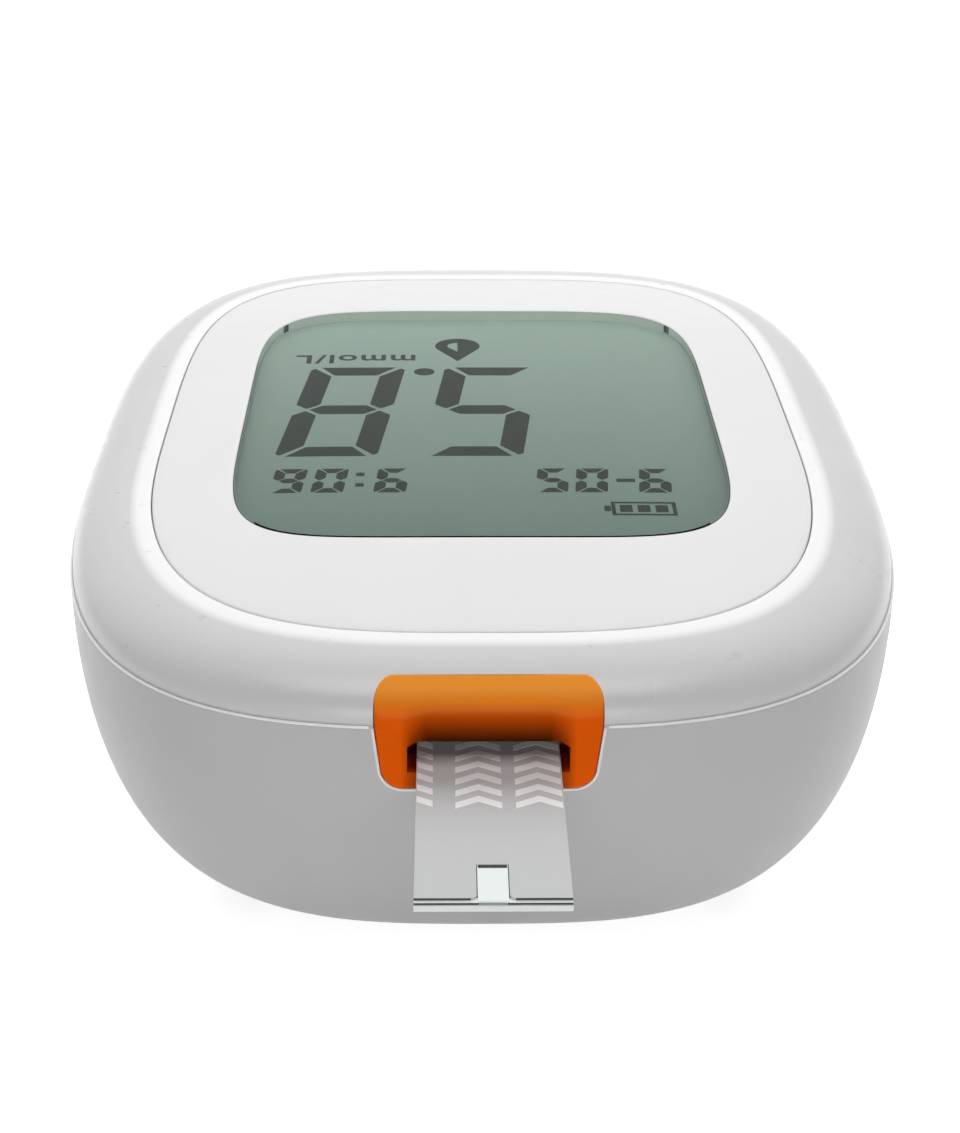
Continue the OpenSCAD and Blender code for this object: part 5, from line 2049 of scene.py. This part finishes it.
@dataclass
class TestStrip:
    """The strip's layers, with rows of plain arrows printed on its cover."""

    spacer: Box = measured("strip_spacer")
    cover: Box = measured("strip_cover")
    window: Box = measured("sample_window")
    shell: Box = measured("bottom_shell")
    arrow_rows: int = 13
    arrow_pitch: float = 1.45

    def arrow(self, width: float, length: float, stroke: float) -> list[Point]:
        """Outline of one arrow that points towards +Y."""
        w, tip = width / 2, length - stroke
        return [(-w, 0), (0, tip), (w, 0), (w, stroke), (0, length), (-w, stroke)]

    def cover_sheet(self, edge: float = 0.02, mouth: float = 0.35) -> Obj:
        """Makes the printed cover with its notch, whose mouth is a little rounded.

        Args:
            edge: Size of the chamfer round its upper edges.
            mouth: Radius of the notch's mouth.
        """
        lo, hi, notch = self.cover.lo, self.cover.hi, self.window
        half = notch.hi[0] + 0.03
        deep = notch.hi[1] + 0.03

        def outline(grow: float) -> list[Point]:
            """The sheet's outline, grown by a distance."""
            w = hi[0] + grow
            turn = []
            for degrees in range(0, 91, 15):
                a = math.radians(degrees)
                turn.append((half - grow + mouth * (1 - math.cos(a)), lo[1] + mouth - mouth * math.sin(a)))
            right = [(half - grow, deep - grow)] + turn + [(w, lo[1] - grow), (w, hi[1] + grow)]
            return right + [(-x, y) for x, y in reversed(right)]

        levels = ((0.0, lo[2]), (0.0, hi[2] - edge), (-edge, hi[2]))
        mould = Mould()
        mould.loft([np.array([(x, y, z) for x, y in outline(grow)]) for grow, z in levels])
        return mould.cast("cover_sheet")

    def window_sheet(self, side: float = 0.02) -> Obj:
        """Makes the clear sheet over the sample channel, a little narrower than the notch."""
        lo, hi = self.window.lo, self.window.hi
        mould = Mould()
        mould.slab(2 * (hi[0] - side), lo[1], hi[1] - 0.02, lo[2], hi[2] - 0.01)
        return mould.cast("window_sheet")

    def glue_lines(self, thin: float = 0.03) -> Obj:
        """Makes dark lines of painted shadow where the layers end and along the notch's sides."""
        spacer, cover, notch = self.spacer, self.cover, self.window
        half = notch.hi[0] + 0.03
        mould = Mould()
        for side in (-1, 1):
            for layer, inner in ((spacer, half - 0.1), (cover, half + 0.35)):
                x = sorted((side * inner, side * layer.hi[0]))
                mould.box((x[0], layer.lo[1] - thin, layer.lo[2]),
                          (x[1], layer.lo[1] - 0.002, layer.hi[2] - 0.01))
            x = sorted((side * (half - 0.045), side * (half - 0.002)))
            mould.box((x[0], cover.lo[1] + 0.2, cover.lo[2]), (x[1], notch.hi[1], cover.hi[2] + 0.001))
        return mould.cast("glue_lines")

    def fill_mark(self, length: float = 0.34) -> Obj:
        """Makes the dark bar at the window's inner end, a painted shadow along the cover's edge there."""
        hi = self.window.hi
        mould = Mould()
        mould.slab(2 * (hi[0] - 0.06), hi[1] - length, hi[1] - 0.02, hi[2] - 0.009, hi[2] + 0.002)
        return mould.cast("fill_mark")

    def print_marks(self, material: Material) -> list[Obj]:
        """Prints two columns of arrows on the cover, and half a column where its edge cuts the print."""
        top = self.cover.hi[2] + 0.001
        start = -self.shell.hi[1] - 5.9
        whole = Mould()
        whole.prism(self.arrow(2.9, 1.55, 0.72), 0, 0.012)
        half = Mould()
        half.prism([(0, 0.83), (1.0, 0.22), (1.0, 0.94), (0, 1.55)], 0, 0.012)
        rows = [start + k * self.arrow_pitch for k in range(self.arrow_rows)]
        columns = [(x, y, top) for x in (-0.7, 3.05) for y in rows]
        cut = [(self.cover.lo[0] + 0.05, y, top) for y in rows]
        return [
            spread("strip_arrows", whole.cast("arrow"), columns, material),
            spread("strip_half_arrows", half.cast("half_arrow"), cut, material),
        ]


# ---------------------------------------------------------------- stage

@dataclass(frozen=True)
class PhotoCamera:
    """The camera of the photograph, in millimetres and degrees."""

    focal: float = 72.89
    film: float = 36.0
    target: Vec = (0.127, 0.0, 10.022)
    distance: float = 191.0
    elevation: float = 24.672
    azimuth: float = -0.943
    roll: float = 0.34

    def place(self) -> None:
        """Makes the camera and hands it to the scene."""
        e, a, r = (math.radians(v) for v in (self.elevation, self.azimuth, self.roll))
        back = Vector((math.sin(a) * math.cos(e), -math.cos(a) * math.cos(e), math.sin(e)))
        right = (-back).cross(Vector((0, 0, 1))).normalized()
        up = right.cross(-back)
        turned_right = right * math.cos(r) + up * math.sin(r)
        turned_up = up * math.cos(r) - right * math.sin(r)
        spot = (Vector(self.target) + back * self.distance) * MM
        lens = bpy.data.cameras.new("camera")
        lens.lens, lens.sensor_width = self.focal, self.film
        lens.clip_start, lens.clip_end = 0.005, 10
        camera = linked("camera", lens)
        turn = Matrix((turned_right, turned_up, back)).transposed()
        camera.matrix_world = Matrix.Translation(spot) @ turn.to_4x4()
        bpy.context.scene.camera = camera


@dataclass(frozen=True)
class SoftBox:
    """A square lamp, by its place in millimetres, its side and its power."""

    name: str
    at: Vec
    side: float
    power: float
    mirrored: bool = True

    def place(self) -> None:
        """Hangs the lamp so that it faces the meter."""
        light = bpy.data.lights.new(self.name, "AREA")
        light.shape, light.size, light.energy = "SQUARE", self.side * MM, self.power
        lamp = linked(self.name, light)
        spot = Vector(self.at) * MM
        aim = Vector((0, 0, 10 * MM)) - spot
        lamp.matrix_world = Matrix.Translation(spot) @ aim.to_track_quat("-Z", "Y").to_matrix().to_4x4()
        lamp.visible_glossy = self.mirrored
        lamp.visible_transmission = self.mirrored


@dataclass(frozen=True)
class Studio:
    """Pale floor, soft lamps and a white surrounding."""

    lamps: tuple[SoftBox, ...] = (
        SoftBox("overhead", (0, 0, 700), 400, 1.7),
        SoftBox("back_high", (0, 520, 450), 400, 2.0, mirrored=False),
        SoftBox("back_left", (-420, 420, 300), 400, 1.5, mirrored=False),
        SoftBox("back_right", (420, 420, 300), 400, 1.65, mirrored=False),
        SoftBox("back_low", (0, 620, 100), 400, 0.7, mirrored=False),
        SoftBox("front_low", (0, -620, 120), 400, 1.76),
    )
    sky: float = 0.0
    floor_side: float = 6000.0
    floor_tone: float = 0.8
    floor_glow: float = 0.8

    def build(self) -> None:
        """Makes the floor, the world and the lamps."""
        self.floor()
        self.world()
        for lamp in self.lamps:
            lamp.place()
        bpy.context.scene.view_settings.view_transform = "Standard"

    def seen(self, tree: NodeTree) -> Socket:
        """A factor that is 1 for what is seen straight, mirrored or through glass."""
        path = tree.nodes.new("ShaderNodeLightPath")
        total = path.outputs["Is Camera Ray"]
        for name in ("Is Glossy Ray", "Is Transmission Ray"):
            total = add_node(tree, "ShaderNodeMath", {0: total, 1: path.outputs[name]},
                             operation="MAXIMUM").outputs[0]
        return total

    def finish(self, tree: NodeTree, kind: str, light: Socket,
               seen: Socket) -> None:
        """Ends a tree with one shader for light and another for what is seen."""
        mix = add_node(tree, "ShaderNodeMixShader", {0: self.seen(tree), 1: light, 2: seen})
        add_node(tree, kind, {"Surface": mix.outputs[0]})

    def floor(self) -> None:
        """A plain floor that shows white where no shadow falls."""
        mould = Mould()
        half = self.floor_side / 2
        mould.add(np.array([(-half, -half, 0), (half, -half, 0), (half, half, 0), (-half, half, 0)]),
                  [(0, 1, 2, 3)])
        floor = mould.cast("floor", tidy=False)
        material = bpy.data.materials.new("floor")
        material.use_nodes = True
        tree = material.node_tree
        tree.nodes.clear()
        matt = add_node(tree, "ShaderNodeBsdfDiffuse", {"Color": (*(self.floor_tone,) * 3, 1)})
        shine = add_node(tree, "ShaderNodeEmission", {"Strength": self.floor_glow})
        both = add_node(tree, "ShaderNodeAddShader", {0: matt.outputs[0], 1: shine.outputs[0]})
        self.finish(tree, "ShaderNodeOutputMaterial", matt.outputs[0], both.outputs[0])
        floor.data.materials.append(material)

    def world(self) -> None:
        """A plain sky that shows white, and lights by its own strength."""
        world = bpy.data.worlds.new("studio")
        world.use_nodes = True
        tree = world.node_tree
        tree.nodes.clear()
        light, white = (
            add_node(tree, "ShaderNodeBackground", {"Strength": strength}).outputs[0]
            for strength in (self.sky, 1.0)
        )
        self.finish(tree, "ShaderNodeOutputWorld", light, white)
        bpy.context.scene.world = world


# ---------------------------------------------------------------- the meter

def dress_rest(paints: Paints) -> None:
    """Gives each CAD node the finish of its slot in the record, where a finish is made for that slot."""
    slots = {part["node"]: part["material_slot"] for part in frame["record"]["subparts"]}
    for node, obj in frame["nodes"].items():
        slot = slots[node]
        if slot not in paints.made:
            continue
        obj.data.materials.clear()
        obj.data.materials.append(paints[slot])


def main() -> None:
    """Builds the meter's pieces in order and reports each."""
    logging.basicConfig(level=logging.INFO, format="%(name)s: %(message)s")
    form = Form()
    outline = Outline(form)
    paints = Paints(form)
    port = PortOutline(form.port.hi[0] - 1.5, form.parting - 4.55, -form.half_l + 2.6, form.parting)
    PhotoCamera().place()
    Studio().build()
    dress_rest(paints)

    upper = UpperShell(form, outline, port)
    fit(upper.build(), paints["shell_white"], Body.HOUSING, "shell_white", "top_shell")
    lower = LowerShell(form, outline, port)
    fit(lower.build(), paints["shell_grey"], Body.HOUSING, "shell_grey", "bottom_shell")
    door = BatteryDoor(form, lower).build(paints["shell_grey"])
    fit(door, paints["shell_grey"], Body.DOOR, "shell_grey", "battery_door")
    fit(EndButton(Box.of("main_button")).build(), paints["button_white"], Body.BUTTON, "button_white",
        "main_button")
    fit(UnderKey(Box.of("set_button")).build(), paints["button_white"], Body.KEY, "button_white",
        "set_button")
    fasteners = Fasteners(Box.of("housing_screws"), Box.of("rubber_feet"))
    fit(fasteners.screw(paints["steel"]), paints["steel"], Body.HOUSING, "steel", "housing_screws")
    fit(fasteners.foot(paints["foot_rubber"]), paints["foot_rubber"], Body.HOUSING, "foot_rubber",
        "rubber_feet")
    cells = Cells(Box.of("cell_left"), Box.of("cell_right"), Box.of("battery_springs"))
    fit(cells.coils(paints["spring_nickel"]), paints["spring_nickel"], Body.HOUSING, "spring_nickel",
        "battery_springs")
    for side, box, up in (("left", cells.left, 1), ("right", cells.right, -1)):
        can = cells.can(box, up)
        can.name = "can_" + side
        fit(can, paints["steel"], Body.HOUSING, "steel", "cell_" + side)
        for name, slot, start, end, proud in (
            ("jacket", "cell_jacket", 0, 1, 0.0), ("ring", "cell_ring", 0.84, 0.96, 0.02),
        ):
            sleeve = cells.sleeve(box, up, start, end, proud)
            sleeve.name = f"{name}_{side}"
            fit(sleeve, paints[slot], Body.HOUSING, "cell_jacket")
    face = Face(form, outline)
    fit(face.sheet(), paints["panel_white"], Body.HOUSING, "panel_white", "face_panel")
    fit(face.lens(), paints["clear_lens"], Body.HOUSING, "clear_lens", "display_lens")
    fit(face.gasket(), paints["gasket"], Body.HOUSING, "connector_rubber")
    display = Display()
    fit(display.front_film(), paints["lcd_film"], Body.HOUSING, "lcd_film", "lcd_polarizer")
    fit(display.figures(), paints["segment_dark"], Body.HOUSING, "lcd_film")
    surround = StripPort(form, port)
    fit(surround.build(), paints["port_orange"], Body.HOUSING, "port_orange", "strip_port")
    # the lining's dark colour is painted shade
    fit(surround.lining(), paints["mouth_dark"], Body.HOUSING, "port_orange")
    # pale beads as painted highlights along the port's cut-out and the joint line
    beads = [
        sweep("port_bead", surround.highlight_bead_path(), 0.1, paints["bead_white"]),
        joint_bead(form, outline, port, paints["bead_white"]),
    ]
    for bead in beads:
        fit(bead, paints["bead_white"], Body.HOUSING, "shell_white")
    strip = TestStrip()
    fit(strip.cover_sheet(), paints["strip_grey"], Body.STRIP, "strip_grey", "strip_cover")
    fit(strip.window_sheet(), paints["strip_clear"], Body.STRIP, "strip_clear", "sample_window")
    # painted shadow at the window's inner end
    fit(strip.fill_mark(), paints["carbon_black"], Body.STRIP, "carbon_black")
    # painted shadow lines at the layer ends and notch
    fit(strip.glue_lines(), paints["strip_glue"], Body.STRIP, "carbon_black")
    for marks in strip.print_marks(paints["print_white"]):
        fit(marks, paints["print_white"], Body.STRIP, "strip_white")


if __name__ == "__main__":
    main()
